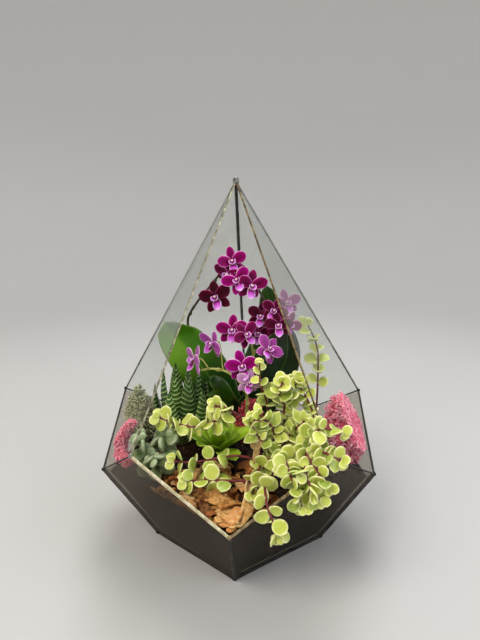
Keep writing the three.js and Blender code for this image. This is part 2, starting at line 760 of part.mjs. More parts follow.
function shoot({ path, pairs, size = 1, first = 0.25, phase = 0 }, leafSize) {
  const curve = new THREE.CatmullRomCurve3(path.map(point));
  const stem = stemTube(path, STEM_RADIUS);
  const leaves = [];
  const draw = dice(path.length * 97 + pairs * 13 + Math.abs(path[0][0]) + 1);
  for (let i = 0; i < pairs; i += 1) {
    const along = first + ((1 - first) * (i + 0.5)) / pairs;
    const origin = curve.getPointAt(along);
    const tangent = curve.getTangentAt(along);
    const side = tangent.clone().cross(vec(0.2, 0.3, 1)).normalize();
    const shrink = size * (1 - 0.2 * (i / pairs));
    const scaled = {
      length: leafSize.length * shrink,
      width: leafSize.width * shrink,
      thickness: leafSize.thickness,
    };
    const turn = phase + 90 * i + 24 * (draw() - 0.5);
    for (const half of [0, 180]) {
      const across = side.clone().applyAxisAngle(tangent, radians(turn + half));
      const leaf = fittedLeaf(origin, across, tangent, scaled, leaves);
      if (leaf) {
        leaves.push(leaf);
      }
    }
  }
  return [stem, ...leaves];
}

// Hand-placed stems of the trailing plant: the first branch of each stands in the soil
const TRAILING = {
  trailing_stem_left: [
    {
      path: [
        [30, -68, 98], [22, -76, 150], [4, -80, 176], [-21, -80, 168], [-40, -80, 162], [-62, -78, 165],
        [-78, -76, 170],
      ],
      pairs: 6, first: 0.5, size: 1.08,
    },
    { path: [[4, -80, 176], [-8, -80, 183], [-20, -82, 186]], pairs: 2, first: 0.3, size: 0.9 },
  ],
  trailing_stem_low_left: [
    {
      path: [
        [26, -84, 96], [24, -92, 130], [4, -96, 139], [-16, -98, 137], [-42, -98, 132],
        [-60, -98, 133],
      ],
      pairs: 4, first: 0.5,
    },
  ],
  trailing_stem_bark: [
    {
      path: [[22, -98, 94], [20, -106, 116], [4, -112, 121], [-22, -112, 121], [-46, -112, 120]],
      pairs: 4, first: 0.5,
    },
  ],
  trailing_stem_sprig: [
    {
      path: [[38, -60, 98], [36, -66, 150], [33, -70, 188], [27, -72, 206], [26, -74, 228]],
      pairs: 4, first: 0.6, size: 0.75,
    },
  ],
  trailing_stem_top: [
    {
      path: [[52, -58, 98], [52, -70, 150], [52, -76, 188], [59, -78, 204], [66, -78, 212]],
      pairs: 5, first: 0.5, size: 1.05,
    },
    { path: [[52, -76, 186], [46, -82, 200], [49, -84, 213]], pairs: 2, first: 0.3, size: 1.05 },
  ],
  trailing_stem_seam: [
    {
      path: [[70, -62, 98], [80, -78, 145], [80, -80, 178], [70, -76, 200], [62, -72, 212]],
      pairs: 5, first: 0.4, size: 0.85,
    },
  ],
  trailing_stem_right: [
    {
      path: [
        [76, -74, 96], [76, -92, 140], [76, -108, 166], [79, -126, 182], [89, -134, 187],
        [100, -134, 184],
      ],
      pairs: 5, first: 0.35, size: 0.95,
    },
    {
      path: [[76, -100, 153], [79, -122, 160], [85, -138, 166], [98, -143, 161]],
      pairs: 4, first: 0.2, size: 0.95,
    },
  ],
  trailing_stem_over_rim: [
    {
      path: [
        [66, -84, 95], [66, -102, 140], [67, -122, 160], [73, -140, 158], [81, -149, 148],
        [86, -150, 140],
      ],
      pairs: 5, first: 0.4,
    },
    { path: [[68, -128, 160], [67, -144, 152], [72, -151, 139], [79, -151, 128]], pairs: 4, first: 0.3 },
  ],
  trailing_stem_cascade: [
    {
      path: [
        [54, -90, 94], [52, -106, 136], [51, -130, 152], [55, -146, 145], [60, -151, 134],
        [64, -152, 122],
      ],
      pairs: 6, first: 0.4,
    },
  ],
  trailing_stem_tip: [
    {
      path: [
        [36, -98, 94], [30, -112, 126], [31, -134, 130], [34, -152, 119], [40, -154, 104],
        [44, -152, 92],
      ],
      pairs: 6, first: 0.4,
    },
  ],
  trailing_stem_front: [
    { path: [[38, -84, 96], [28, -104, 134], [23, -120, 128], [20, -130, 118]], pairs: 4, first: 0.4 },
  ],
  trailing_stem_heart: [
    { path: [[48, -76, 96], [42, -90, 140], [38, -98, 172], [26, -102, 186]], pairs: 5, first: 0.35 },
    { path: [[44, -86, 130], [55, -94, 160], [70, -98, 178]], pairs: 4, first: 0.35 },
    { path: [[43, -88, 134], [50, -106, 150], [46, -120, 140]], pairs: 3, first: 0.4 },
    { path: [[42, -90, 140], [28, -104, 160], [17, -106, 180]], pairs: 3, first: 0.4, size: 0.9 },
  ],
  trailing_stem_upright: [
    {
      path: [
        [88, 6, 96], [94, 8, 150], [95, 10, 190], [94, 12, 219], [91, 14, 233],
        [87, 16, 247],
      ],
      pairs: 6, first: 0.5, size: 0.95, phase: 20,
    },
  ],
};

// A grey-green plant with round opposite leaves on short stems
const JADE_SIZE = { length: 22, width: 14, thickness: 5.5 };
const JADE = [
  { path: [[-82, -72, 94], [-83, -80, 114], [-84, -86, 126]], pairs: 3, first: 0.4, phase: 30 },
  { path: [[-82, -75, 106], [-90, -78, 126], [-97, -82, 146]], pairs: 3, first: 0.35 },
  { path: [[-82, -76, 108], [-75, -75, 130], [-72, -74, 148]], pairs: 4, first: 0.35, phase: 60 },
];

const ROOT_RADIUS = STEM_RADIUS + 0.4;

function leafyPlant(branches, leafSize) {
  const [x, y] = branches[0].path[0];
  const bodies = branches.flatMap((branch) => shoot(branch, leafSize));
  const top = joined(bodies).subtract(aboveSoil);
  return largest(top.add(plug(x, y, ROOT_RADIUS, ROOT_DEPTH, 3)));
}

// Assembly

const terrarium = new THREE.Group();

function addMesh(name, geometry, paint) {
  const material = new THREE.MeshStandardMaterial({ ...colour[paint], flatShading: true });
  const mesh = new THREE.Mesh(geometry, material);
  mesh.name = name;
  terrarium.add(mesh);
}

function addBody(name, body, paint) {
  neighbours.push(body);
  addMesh(name, geometryOf(body), paint);
}

// Stems of all leafy plants stand in holes that are known before any leaf is fitted
[...Object.values(TRAILING), JADE].forEach((branches) => {
  const [x, y] = branches[0].path[0];
  holes.push(plug(x, y, ROOT_RADIUS + GAP, ROOT_DEPTH + GAP, 2 * ROOT_DEPTH));
});

const ballRoom = solderBall(APEX_BALL + GAP);
panes.forEach((pane) => {
  const lower = pane === base || walls.includes(pane);
  const kind = pane === base ? 'base' : `${lower ? 'smoked' : 'clear'}`;
  const name = pane === base ? 'base_pane' : `${kind}_pane_${pane.name}`;
  const glass = solid(glassPane(pane, pane === base ? BASE_THICKNESS : GLASS));
  addBody(name, glass.subtract(ballRoom), lower ? 'smoked' : 'glass');
  const seam = pane === base ? 'foil_base' : `foil_${lower ? 'wall' : 'roof'}_${pane.name}`;
  addBody(seam, solid(foilRing(pane)).subtract(ballRoom), 'patina');
});
addBody('apex_solder', solderBall(APEX_BALL), 'brass');

addBody('orchid_leaves', orchidLeaves(), 'orchidLeaf');
const spikeRoom = joined(Object.values(SPIKES).map((branches) => spikeTubes(branches, SPIKE_RADIUS + GAP)));
Object.entries(SPIKES).forEach(([name, branches]) => addBody(name, orchidSpike(branches), 'spike'));
Object.entries(BLOOMS).forEach(([name, blooms]) => {
  addBody(name, largest(joined(blooms.map(orchidBloom)).subtract(spikeRoom)), 'bloom');
});
addBody('zebra_plant', zebraPlant(), 'zebra');
addBody('green_rosette', rosettePlant(), 'rosette');
MOSS.forEach(({ name, paint, ...clump }) => {
  addBody(name, largest(mossClump(clump).subtract(spikeRoom)), paint);
});

// The trailing plant's stems keep their room while the leaves of the others are fitted
const stemRooms = Object.entries(TRAILING).map(([name, branches]) => {
  const tubes = branches.map(({ path }) => stemTube(path, STEM_RADIUS + 2 * GAP));
  return { name, room: joined(tubes) };
});
const sockets = joined(holes);
const allStems = joined(stemRooms.map(({ room }) => room));
addBody('bark_mulch', largest(barkMulch().subtract(sockets).subtract(allStems)), 'bark');
neighbours.push(...stemRooms.map(({ room }) => room));
addBody('grey_jade', leafyPlant(JADE, JADE_SIZE), 'jade');
stemRooms.forEach(({ name, room }) => {
  neighbours.splice(neighbours.indexOf(room), 1);
  addBody(name, leafyPlant(TRAILING[name], LEAF), 'variegated');
});
addBody('soil', largest(roomInside(GAP).intersect(ground(0)).subtract(sockets)), 'soil');

export default terrarium;
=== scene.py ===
from math import cos, inf, pi, radians, sin, sqrt, tan

import bpy
import numpy as np
from mathutils import Euler, Matrix
from numpy.random import default_rng


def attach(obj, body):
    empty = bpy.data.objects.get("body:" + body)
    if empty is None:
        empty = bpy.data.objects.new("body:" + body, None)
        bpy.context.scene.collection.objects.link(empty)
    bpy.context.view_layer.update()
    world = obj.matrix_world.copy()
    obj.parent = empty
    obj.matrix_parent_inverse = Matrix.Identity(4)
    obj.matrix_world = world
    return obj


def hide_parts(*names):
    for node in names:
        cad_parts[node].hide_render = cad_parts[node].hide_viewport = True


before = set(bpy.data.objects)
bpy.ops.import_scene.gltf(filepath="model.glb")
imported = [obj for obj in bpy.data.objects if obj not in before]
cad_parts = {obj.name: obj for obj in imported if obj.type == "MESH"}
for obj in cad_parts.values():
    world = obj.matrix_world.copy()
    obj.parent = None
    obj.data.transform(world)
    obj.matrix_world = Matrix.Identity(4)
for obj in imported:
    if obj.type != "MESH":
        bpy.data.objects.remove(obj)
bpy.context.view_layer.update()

MM = 0.001
GOLDEN_TURN = 2.39996
FULL_TURN = 2 * pi


def unit(v):
    v = np.asarray(v, float)
    return v / np.linalg.norm(v, axis=-1, keepdims=True)


def turned(v, axis, degrees):
    """v turned about a unit axis."""
    a = radians(degrees)
    return v * cos(a) + np.cross(axis, v) * sin(a) + axis * (axis @ v) * (1 - cos(a))


def joined(*parts):
    """Values or arrays side by side, along a new last axis."""
    return np.stack(np.broadcast_arrays(*parts), -1)


def around_circle(count):
    """Angles that are evenly spaced over a full turn."""
    return np.arange(count) * FULL_TURN / count


def dice(seed):
    """The repeatable draw between 0 and 1 that the solids use."""
    state = [seed]

    def draw():
        state[0] = (state[0] * 16807) % 2147483647
        return state[0] / 2147483647
    return draw


def added(name, data):
    """A new object in the scene."""
    obj = bpy.data.objects.new(name, data)
    bpy.context.scene.collection.objects.link(obj)
    return obj


def aim(obj, right, up, at):
    """Puts a camera or a lamp at a point, with its own x and y axes along right and up."""
    back = np.cross(right, up)
    obj.matrix_world = Matrix([[right[i], up[i], back[i], at[i]] for i in range(3)] + [[0, 0, 0, 1]])


# Camera, at the photograph's viewing angle

CAMERA_AT = (0.0306, -0.5138, 0.3662)
CAMERA_RIGHT = (0.9986, 0.0516, -0.0104)
CAMERA_UP = (-0.0005, 0.2064, 0.9785)
CAMERA_LENS = 25.62


def make_camera():
    data = bpy.data.cameras.new("camera")
    data.lens, data.sensor_width = CAMERA_LENS, 36
    data.clip_start, data.clip_end = 0.01, 60
    camera = added("camera", data)
    right = unit(CAMERA_RIGHT)
    aim(camera, right, unit(CAMERA_UP - right * (right @ CAMERA_UP)), CAMERA_AT)
    bpy.context.scene.camera = camera


make_camera()


# Materials

def colour(code):
    """Linear colour from a hex code."""
    parts = [int(code[i:i + 2], 16) / 255 for i in (1, 3, 5)]
    return tuple(c / 12.92 if c <= 0.04045 else ((c + 0.055) / 1.055) ** 2.4 for c in parts) + (1,)


class Paint:
    """A material and short names for the nodes that make it."""

    def __init__(self, name):
        self.mat = bpy.data.materials.new(name)
        self.mat.use_nodes = True
        self.tree = self.mat.node_tree
        self.tree.nodes.clear()
        self.place = self.node("TexCoord", {}, "Object")

    def node(self, kind, inputs, output=0, **settings):
        """An output of a new node, whose inputs are numbers, hex codes or outputs of others."""
        node = self.tree.nodes.new("ShaderNode" + kind)
        for key, value in settings.items():
            setattr(node, key, value)
        for key, value in inputs.items():
            if isinstance(value, bpy.types.NodeSocket):
                self.tree.links.new(value, node.inputs[key])
            else:
                node.inputs[key].default_value = colour(value) if isinstance(value, str) else value
        return node.outputs[output]

    def mark(self):
        """The three values that a piece's points carry."""
        carried = self.node("Attribute", {}, "Vector", attribute_name="mark")
        return [self.node("SeparateXYZ", {0: carried}, axis) for axis in "XYZ"]

    def noise(self, scale, detail=3, stretch=None, rough=0.5):
        place = self.node("Mapping", {"Vector": self.place, "Scale": stretch}) if stretch else self.place
        return self.node("TexNoise", {"Vector": place, "Scale": scale, "Detail": detail, "Roughness": rough})

    def calc(self, operation, a, b=0.0, c=0.0):
        return self.node("Math", {0: a, 1: b, 2: c}, operation=operation)

    def spread(self, value, low, high, to_low=0.0, to_high=1.0):
        return self.node("MapRange", {0: value, 1: low, 2: high, 3: to_low, 4: to_high})

    def mix(self, share, a, b):
        return self.node("Mix", {0: share, 6: a, 7: b}, 2, data_type="RGBA")

    def ramp(self, value, stops):
        """Colours by a value, from a text of places and hex codes."""
        output = self.node("ValToRGB", {0: value})
        points = output.node.color_ramp.elements
        stops = [stop.split() for stop in stops.split(", ")]
        while len(points) < len(stops):
            points.new(0.5)
        for point, (spot, code) in zip(points, stops):
            point.position = float(spot)
            point.color = colour(code)
        return output

    def grazing(self, least):
        """How strongly a face mirrors: least head on, and fully at a grazing angle, on both sides."""
        facing = self.node("LayerWeight", {"Blend": 0.5}, "Facing")
        return self.calc("MULTIPLY_ADD", self.calc("POWER", facing, 5.0), 1 - least, least)

    def glass(self, through, tint, dull, gloss, rough, mirror):
        """Ends with glass: light of one colour passes it, some of it is dull, and it mirrors."""
        clear = self.node("BsdfTransparent", {"Color": through})
        film = self.node("MixShader", {0: dull, 1: clear, 2: self.node("BsdfDiffuse", {"Color": tint})})
        shine = self.node("BsdfGlossy", {"Color": gloss, "Roughness": rough})
        return self.done(self.node("MixShader", {0: mirror, 1: film, 2: shine}))

    def finish(self, tint, rough, height=None, distance=0.0, strength=1.0, **more):
        """Ends with the main shader, with bumps where a height is given."""
        inputs = {"Base Color": tint, "Roughness": rough}
        inputs.update({key.replace("_", " "): value for key, value in more.items()})
        if height is not None:
            bump = {"Height": height, "Distance": distance, "Strength": strength}
            inputs["Normal"] = self.node("Bump", bump)
        return self.done(self.node("BsdfPrincipled", inputs))

    def done(self, shader):
        out = self.tree.nodes.new("ShaderNodeOutputMaterial")
        self.tree.links.new(shader, out.inputs["Surface"])
        return self.mat


def clear_glass():
    """Thin clear glass, which mirrors more towards grazing angles and on its upper part."""
    p = Paint("clear_glass")
    high = p.spread(p.node("SeparateXYZ", {0: p.place}, "Z"), 0.2, 0.29, 0.08, 1.0)
    smears = p.calc("MULTIPLY", p.spread(p.noise(22, 4), 0.35, 0.7, 0.01, 0.06), high)
    return p.glass("#fafbfa", "#cbcac6", smears, "#e9ecec", 0.02, p.calc("MULTIPLY", p.grazing(0.045), high))


def smoked_glass():
    """Smoked glass, which looks nearly black where soil is behind it."""
    p = Paint("smoked_glass")
    tint = p.ramp(p.noise(16, 4), "0.3 #191716, 0.7 #2a2724")
    rough = p.spread(p.noise(60, 5), 0.3, 0.7, 0.03, 0.1)
    return p.glass("#ebe7e1", tint, 0.07, "#98928a", rough, p.grazing(0.03))


def solder(name, stops, rough, metal=1.0):
    """Soldered seam: worn metal under a patchy patina."""
    p = Paint(name)
    tint = p.ramp(p.noise(190, 5, rough=0.62), stops)
    grain = p.spread(p.noise(700, 3), 0.3, 0.7, *rough)
    return p.finish(tint, grain, p.noise(420, 3), 0.0005, 0.6, Metallic=metal)


# The seam tones are partly the solder's own patina and partly painted light and shade: the lit mouth seams
# have the bright solders and the shaded seams the dark one.
BRIGHT = solder("solder_bright", "0.3 #9c8f68, 0.5 #cfc49c, 0.7 #efe8cc", (0.25, 0.45), 0.6)
BRASS = solder("solder_brass", "0.35 #6c6754, 0.5 #989278, 0.68 #ccc7a8", (0.3, 0.5), 0.7)
BROWN = solder("solder_brown", "0.35 #4a3d2c, 0.52 #857352, 0.7 #bcaa7c", (0.3, 0.5), 0.5)
SLATE = solder("solder_slate", "0.32 #55534f, 0.52 #7c7974, 0.74 #a5a29b", (0.4, 0.6), 0.5)
GREY = solder("solder_grey", "0.32 #6b6862, 0.52 #98958d, 0.74 #bdb9b0", (0.3, 0.5))
DARK = solder("solder_dark", "0.32 #0c0b0a, 0.52 #1c1a17, 0.74 #4f4940", (0.45, 0.7), 0.25)


def variegated_skin():
    """Lime leaf with a cream margin; mark: 0 middle to 1 edge, along, tone."""
    p = Paint("variegated_leaf")
    edge, along, tone = p.mark()
    wave = p.calc("ADD", edge, p.spread(p.noise(230, 3), 0.3, 0.7, -0.13, 0.13))
    middle = p.ramp(tone, "0 #86983a, 0.35 #9dad40, 0.7 #b4be4c, 1 #cdd464")
    fleck = p.mix(p.spread(p.noise(420, 2), 0.5, 0.68, 0.0, 0.4), middle, "#c2d270")
    margin = p.ramp(tone, "0 #c3cb80, 0.3 #d8da90, 0.7 #e6e5a6, 1 #f0eeba")
    tint = p.mix(p.spread(wave, 0.7, 1.0), fleck, margin)
    tint = p.mix(p.spread(wave, 1.0, 1.1, 0.0, 0.35), tint, "#c98a86")
    return p.finish(tint, 0.36, p.noise(500, 2), 0.0003, 0.3,
                    Subsurface_Weight=0.12, Subsurface_Radius=(0.5, 0.7, 0.2), Subsurface_Scale=0.003)


def stem_skin(name, low, high):
    p = Paint(name)
    tint = p.ramp(p.noise(160, 3), f"0.3 {low}, 0.7 {high}")
    return p.finish(tint, 0.5, p.noise(600, 2), 0.0004, 0.5)


MAROON = stem_skin("maroon_stem", "#4a181e", "#86393c")
DARK_STEM = stem_skin("dark_stem", "#2b2416", "#4c4424")
PALE_STEM = stem_skin("pale_stem", "#95a043", "#cfc878")


def petal_skin():
    """Petals: burgundy to violet pink, with a thin pale edge; mark: edge, along, tone."""
    p = Paint("petal")
    edge, along, tone = p.mark()
    veins = p.noise(900, 2, stretch=(1, 1, 0.4))
    deep = p.ramp(tone, "0 #2c000e, 0.35 #58002e, 0.6 #74004c, 0.8 #8f4288, 1 #b890b4")
    glow = p.ramp(tone, "0 #4e001c, 0.35 #940060, 0.6 #b00092, 0.8 #ac54ac, 1 #d6b4cc")
    blend = p.calc("ADD", edge, p.spread(veins, 0.3, 0.7, -0.25, 0.25))
    shade = p.mix(p.spread(blend, 0.1, 1.0), deep, glow)
    rim = p.ramp(tone, "0 #94406e, 0.3 #d884c0, 0.8 #ecc8e0, 1 #f6ead8")
    border = p.spread(p.calc("ADD", edge, p.spread(p.noise(500, 2), 0.3, 0.7, -0.04, 0.04)), 0.84, 0.94)
    return p.finish(p.mix(border, shade, rim), 0.5, veins, 0.0004, 0.5, Specular_IOR_Level=0.12)


def lip_skin():
    """The lip: lilac with a cream and dark red striped heart; mark: edge, along, tone."""
    p = Paint("lip")
    edge, along, tone = p.mark()
    body = p.ramp(along, "0 #f4dce2, 0.12 #e6b84a, 0.24 #5a0820, 0.36 #7a1048, 0.5 #b838b4, 0.8 #d078dc, "
                  "1 #f2ccf4")
    stripes = p.spread(p.noise(1400, 1, stretch=(1, 1, 0.2)), 0.42, 0.56)
    shade = p.calc("MULTIPLY", stripes, p.spread(along, 0.2, 0.75, 0.7, 0.0))
    tint = p.mix(shade, body, "#5c0f2c")
    tint = p.mix(p.spread(edge, 0.7, 1.0, 0.0, 0.8), tint, "#f3d4f2")
    return p.finish(tint, 0.45, p.noise(800, 2), 0.0003, 0.4, Specular_IOR_Level=0.2)


def column_skin():
    p = Paint("column")
    edge, along, tone = p.mark()
    tint = p.ramp(along, "0 #9c4a9c, 0.5 #d09ad4, 0.9 #f0d0ea, 1 #e6c05a")
    return p.finish(tint, 0.4, p.noise(900, 2), 0.0002, 0.3)


def strap_skin():
    """Thick orchid leaf, with painted light and shade: its tone picks between a painted shaded green and a
    painted lit green, and one half is painted lighter; mark: across from -1 to 1, along, tone.
    """
    p = Paint("orchid_leaf")
    across, along, tone = p.mark()
    # dark is the leaf's painted shaded green and light its painted lit green
    dark = p.ramp(p.noise(45, 4), "0.3 #091c07, 0.7 #143410")
    light = p.ramp(p.noise(45, 4), "0.3 #37700c, 0.7 #568c14")
    veins = p.noise(60, 2, stretch=(9, 9, 0.6))
    # Painted light: the half of the leaf with negative across is painted lighter, as if lit
    light = p.mix(p.spread(across, -0.1, 0.1), p.mix(0.6, light, "#7cae28"), light)
    tint = p.mix(tone, dark, light)
    rib = p.spread(p.calc("ABSOLUTE", across), 0.0, 0.06, 0.35, 0.0)
    tint = p.mix(rib, tint, "#6f9a3a")
    tint = p.mix(p.spread(p.calc("ABSOLUTE", across), 0.93, 1.0, 0.0, 0.5), tint, "#6c7a34")
    return p.finish(tint, 0.3, veins, 0.0008, 0.35)


def zebra_skin():
    """Green leaf whose raised bands are pale; mark: band height, along, tone."""
    p = Paint("zebra_leaf")
    band, along, tone = p.mark()
    green = p.ramp(p.noise(90, 4), "0.3 #13280f, 0.7 #29491f")
    green = p.mix(p.calc("MULTIPLY", tone, 0.45), green, "#4c7420")
    pale = p.mix(tone, "#84a063", "#b9cc84")
    tint = p.mix(p.spread(band, 0.3, 0.75), green, pale)
    return p.finish(tint, 0.42, p.noise(300, 3), 0.0004, 0.4)


def plain_leaf_skin(name, low, high, edge_tint, rough=0.4):
    """A leaf of one colour with a paler edge; mark: 0 middle to 1 edge, along, tone."""
    p = Paint(name)
    edge, along, tone = p.mark()
    blend = p.calc("ADD", p.spread(p.noise(120, 3), 0.3, 0.7, -0.3, 0.3), tone)
    tint = p.mix(p.spread(blend, 0.0, 1.0), low, high)
    tint = p.mix(p.spread(edge, 0.8, 1.02, 0.0, 0.55), tint, edge_tint)
    return p.finish(tint, rough, p.noise(350, 3), 0.0004, 0.35)


def moss_skin(name, deep, main, tip):
    """Lichen with painted shade: darker in its depth between the strands and paler at the tips; mark: depth,
    along, tone.
    """
    p = Paint(name)
    depth, along, tone = p.mark()
    patchy = p.calc("ADD", depth, p.spread(p.noise(260, 3), 0.3, 0.7, -0.2, 0.2))
    tint = p.ramp(patchy, f"0 {deep}, 0.55 {main}, 1 {tip}")
    return p.finish(tint, 0.95, Sheen_Weight=0.3)


def bark_skin():
    """Bark chips with a grain; mark: along, how orange it is, tone."""
    p = Paint("bark")
    along, orange, tone = p.mark()
    grain = p.noise(320, 5, rough=0.7)
    patchy = p.calc("ADD", tone, p.spread(grain, 0.25, 0.75, -0.3, 0.3))
    tint = p.ramp(patchy, "0 #140a05, 0.25 #432512, 0.5 #8a5a2c, 0.75 #c69552, 1 #e6ca96")
    tint = p.mix(p.spread(orange, 0.6, 1.0, 0.0, 0.6), tint, "#b8682c")
    return p.finish(tint, 0.85, grain, 0.0012, 0.8)


def soil_skin():
    p = Paint("soil")
    crumbs = p.noise(330, 6, rough=0.7)
    above, along, tone = p.mark()
    # Soil down the glass and at the mound's edge is darker: partly packed soil, partly painted shade under
    # the rim
    packed_and_shaded = p.ramp(crumbs, "0.3 #0b0705, 0.55 #1c120c, 0.75 #3c291a")
    patchy = p.calc("ADD", crumbs, p.spread(tone, 0.0, 1.0, -0.2, 0.25))
    loose = p.ramp(patchy, "0.3 #120b07, 0.5 #2e1e13, 0.75 #664930")
    tint = p.mix(above, packed_and_shaded, loose)
    return p.finish(tint, 0.95, crumbs, 0.002, 0.9)


# Meshes: points in millimetres, faces, and a mark of three values for each point

class Body:
    def __init__(self):
        self.points, self.marks, self.faces, self.paints, self.count = [], [], [], [], 0

    def add(self, points, faces, marks, paint=0):
        points = np.asarray(points, float).reshape(-1, 3)
        self.points.append(points)
        self.marks.append(np.broadcast_to(np.asarray(marks, float), points.shape))
        self.faces.extend([tuple(i + self.count for i in face) for face in faces])
        self.paints.extend([paint] * len(faces))
        self.count += len(points)

    def built(self, name, materials):
        mesh = bpy.data.meshes.new(name)
        mesh.from_pydata((np.concatenate(self.points) * MM).tolist(), [], self.faces)
        mark = mesh.attributes.new("mark", "FLOAT_VECTOR", "POINT")
        mark.data.foreach_set("vector", np.concatenate(self.marks).astype(np.float32).ravel())
        for material in materials:
            mesh.materials.append(material)
        mesh.polygons.foreach_set("material_index", self.paints)
        mesh.shade_smooth()
        return added(name, mesh)

    def piece(self, name, materials, slot, nodes):
        obj = self.built(name, materials)
        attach(obj, "root")
        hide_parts(*nodes)


class Path:
    """A centripetal Catmull-Rom curve that is read by its length, like the solids' curves."""

    def __init__(self, points):
        p = np.array(points, float)
        whole = np.vstack([2 * p[0] - p[1], p, 2 * p[-1] - p[-2]])
        fine = [p[:1]]
        for i in range(len(p) - 1):
            a, b, c, d = whole[i:i + 4]
            t0, t1, t2 = (np.linalg.norm(v) ** 0.5 for v in (b - a, c - b, d - c))
            start = ((b - a) / t0 - (c - a) / (t0 + t1) + (c - b) / t1) * t1
            end = ((c - b) / t1 - (d - b) / (t1 + t2) + (d - c) / t2) * t1
            s = np.linspace(0, 1, 25)[1:, None]
            fine.append(b + s * start + s ** 2 * (-3 * b + 3 * c - 2 * start - end)
                        + s ** 3 * (2 * b - 2 * c + start + end))
        self.fine = np.concatenate(fine)
        steps = np.linalg.norm(np.diff(self.fine, axis=0), axis=1)
        self.reach = np.concatenate([[0], np.cumsum(steps)])
        self.length = self.reach[-1]

    def at(self, share):
        s = np.clip(share, 0, 1) * self.length
        return np.stack([np.interp(s, self.reach, self.fine[:, k]) for k in range(3)], -1)

    def along(self, share):
        share = np.asarray(share, float)
        return unit(self.at(np.clip(share + 2e-3, 0, 1)) - self.at(np.clip(share - 2e-3, 0, 1)))


def band(rings, around, flip=False):
    """Faces between rings of points that follow each other."""
    faces = []
    for i in range(rings - 1):
        for k in range(around):
            a, b = i * around + k, i * around + (k + 1) % around
            faces.append((a, a + around, b + around, b) if flip else (a, b, b + around, a + around))
    return faces


def tube(rings, around, flip):
    """A band with a flat face at each end."""
    faces = band(rings, around)
    faces += [tuple(range(around))[::-1], tuple(range((rings - 1) * around, rings * around))]
    return [face[::-1] for face in faces] if flip else faces


def closed(rings, around, flip=False):
    """A band with a fan at each end, round two points that follow the rings."""
    first, last = rings * around, (rings - 1) * around
    fans = [(first, (k + 1) % around, k) for k in range(around)]
    fans += [(first + 1, last + k, last + (k + 1) % around) for k in range(around)]
    return band(rings, around, flip) + [face[::-1] if flip else face for face in fans]


def rod(body, points, radii, sides=8, tone=0.0, paint=0, depth=None):
    """A closed round bar along points, with a radius at each."""
    points = np.asarray(points, float)
    count = len(points)
    ways = unit(np.gradient(points, axis=0))
    ref = np.cross(ways[0], (0.3, 0.2, 1.0))
    turn = around_circle(sides)[:, None]
    rings = []
    for point, radius, way in zip(points, np.broadcast_to(radii, count), ways):
        ref = unit(ref - way * (ref @ way))
        rings.append(point + radius * (np.cos(turn) * ref + np.sin(turn) * np.cross(way, ref)))
    share = np.append(np.repeat(np.linspace(0, 1, count), sides), [0, 1])
    marks = joined(share if depth is None else depth, share, tone)
    body.add(np.concatenate([*rings, points[:1], points[-1:]]), closed(count, sides), marks, paint)


def slab(body, grid, thick, marks, paint=0):
    """A thin closed body round a grid of points (rows, columns, 3)."""
    rows, columns = grid.shape[:2]
    normal = np.cross(np.gradient(grid, axis=0), np.gradient(grid, axis=1))
    normal /= np.maximum(np.linalg.norm(normal, axis=-1, keepdims=True), 1e-9)
    half = normal * np.broadcast_to(thick, (rows, columns))[..., None] / 2
    under = rows * columns
    spots = np.arange(under).reshape(rows, columns)
    top = joined(spots[:-1, :-1], spots[1:, :-1], spots[1:, 1:], spots[:-1, 1:]).reshape(-1, 4)
    rim = np.concatenate([spots[:, 0], spots[-1, 1:], spots[-2::-1, -1], spots[0, -2:0:-1]])
    after = np.roll(rim, -1)
    side = joined(rim, rim + under, after + under, after)
    faces = np.concatenate([top, top[:, [0, 3, 2, 1]] + under, side]).tolist()
    marks = np.reshape(marks, (-1, 3))
    body.add([grid + half, grid - half], faces, np.concatenate([marks, marks]), paint)


def basis(axis, normal):
    x = unit(axis)
    y = unit(np.cross(normal, x))
    return np.array([x, y, np.cross(x, y)])


# A fleshy leaf's rings, as shares of its outline, and where along it they meet
RINGS = (1.0, 0.9, 0.68, 0.36)
CROWN = 0.56


def fleshy_faces(count):
    """Faces of both sides of a leaf: rings inwards from its outline, then a middle point."""
    inner = (len(RINGS) - 1) * count
    middle = count + 2 * inner
    top = band(len(RINGS), count) + [(inner + k, inner + (k + 1) % count, middle) for k in range(count)]
    below = {i: i for i in range(count)} | {i: i + inner for i in range(count, count + inner)}
    below[middle] = middle + 1
    return top + [tuple(below[i] for i in face)[::-1] for face in top]


FLESHY = {count: fleshy_faces(count) for count in (12, 16)}


def fleshy(body, origin, axes, length, width, thick, tone, shape, bend, count=16, paint=0):
    """A thick leaf: its outline follows shape(s) for half widths, and both faces swell."""
    turn = around_circle(count)
    s = (1 - np.cos(turn)) / 2
    out = joined(length * s, np.sign(np.sin(turn) + 1e-12) * width / 2 * shape(s))
    middle = np.array([length * CROWN, 0.0])
    rings = np.array(RINGS + RINGS[1:])
    flat = np.concatenate([*(middle + rings[:, None, None] * (out - middle)), [middle, middle]])
    rim = np.append(np.repeat(rings, count), [0, 0])
    side = np.append(np.repeat([0, 1, 1, 1, -1, -1, -1], count), [1, -1])
    high = side * thick / 2 * np.sqrt(1 - rim ** 3)
    local = np.column_stack([flat, high + bend(flat[:, 0] / length, flat[:, 1] / (width / 2))])
    body.add(origin + local @ axes, FLESHY[count], joined(rim, flat[:, 0] / length, tone), paint)


# Vessel

RING_RADIUS, APEX_HEIGHT, SHOULDER_HEIGHT, BASE_MIDDLE = 160, 412, 155, 2
SIDES, STEP = 5, 72
GLASS = 2.6
SEAM_STEP = 3.2


def ring_point(radius, degrees, height):
    a = radians(degrees)
    return np.array([radius * sin(a), -radius * cos(a), height])


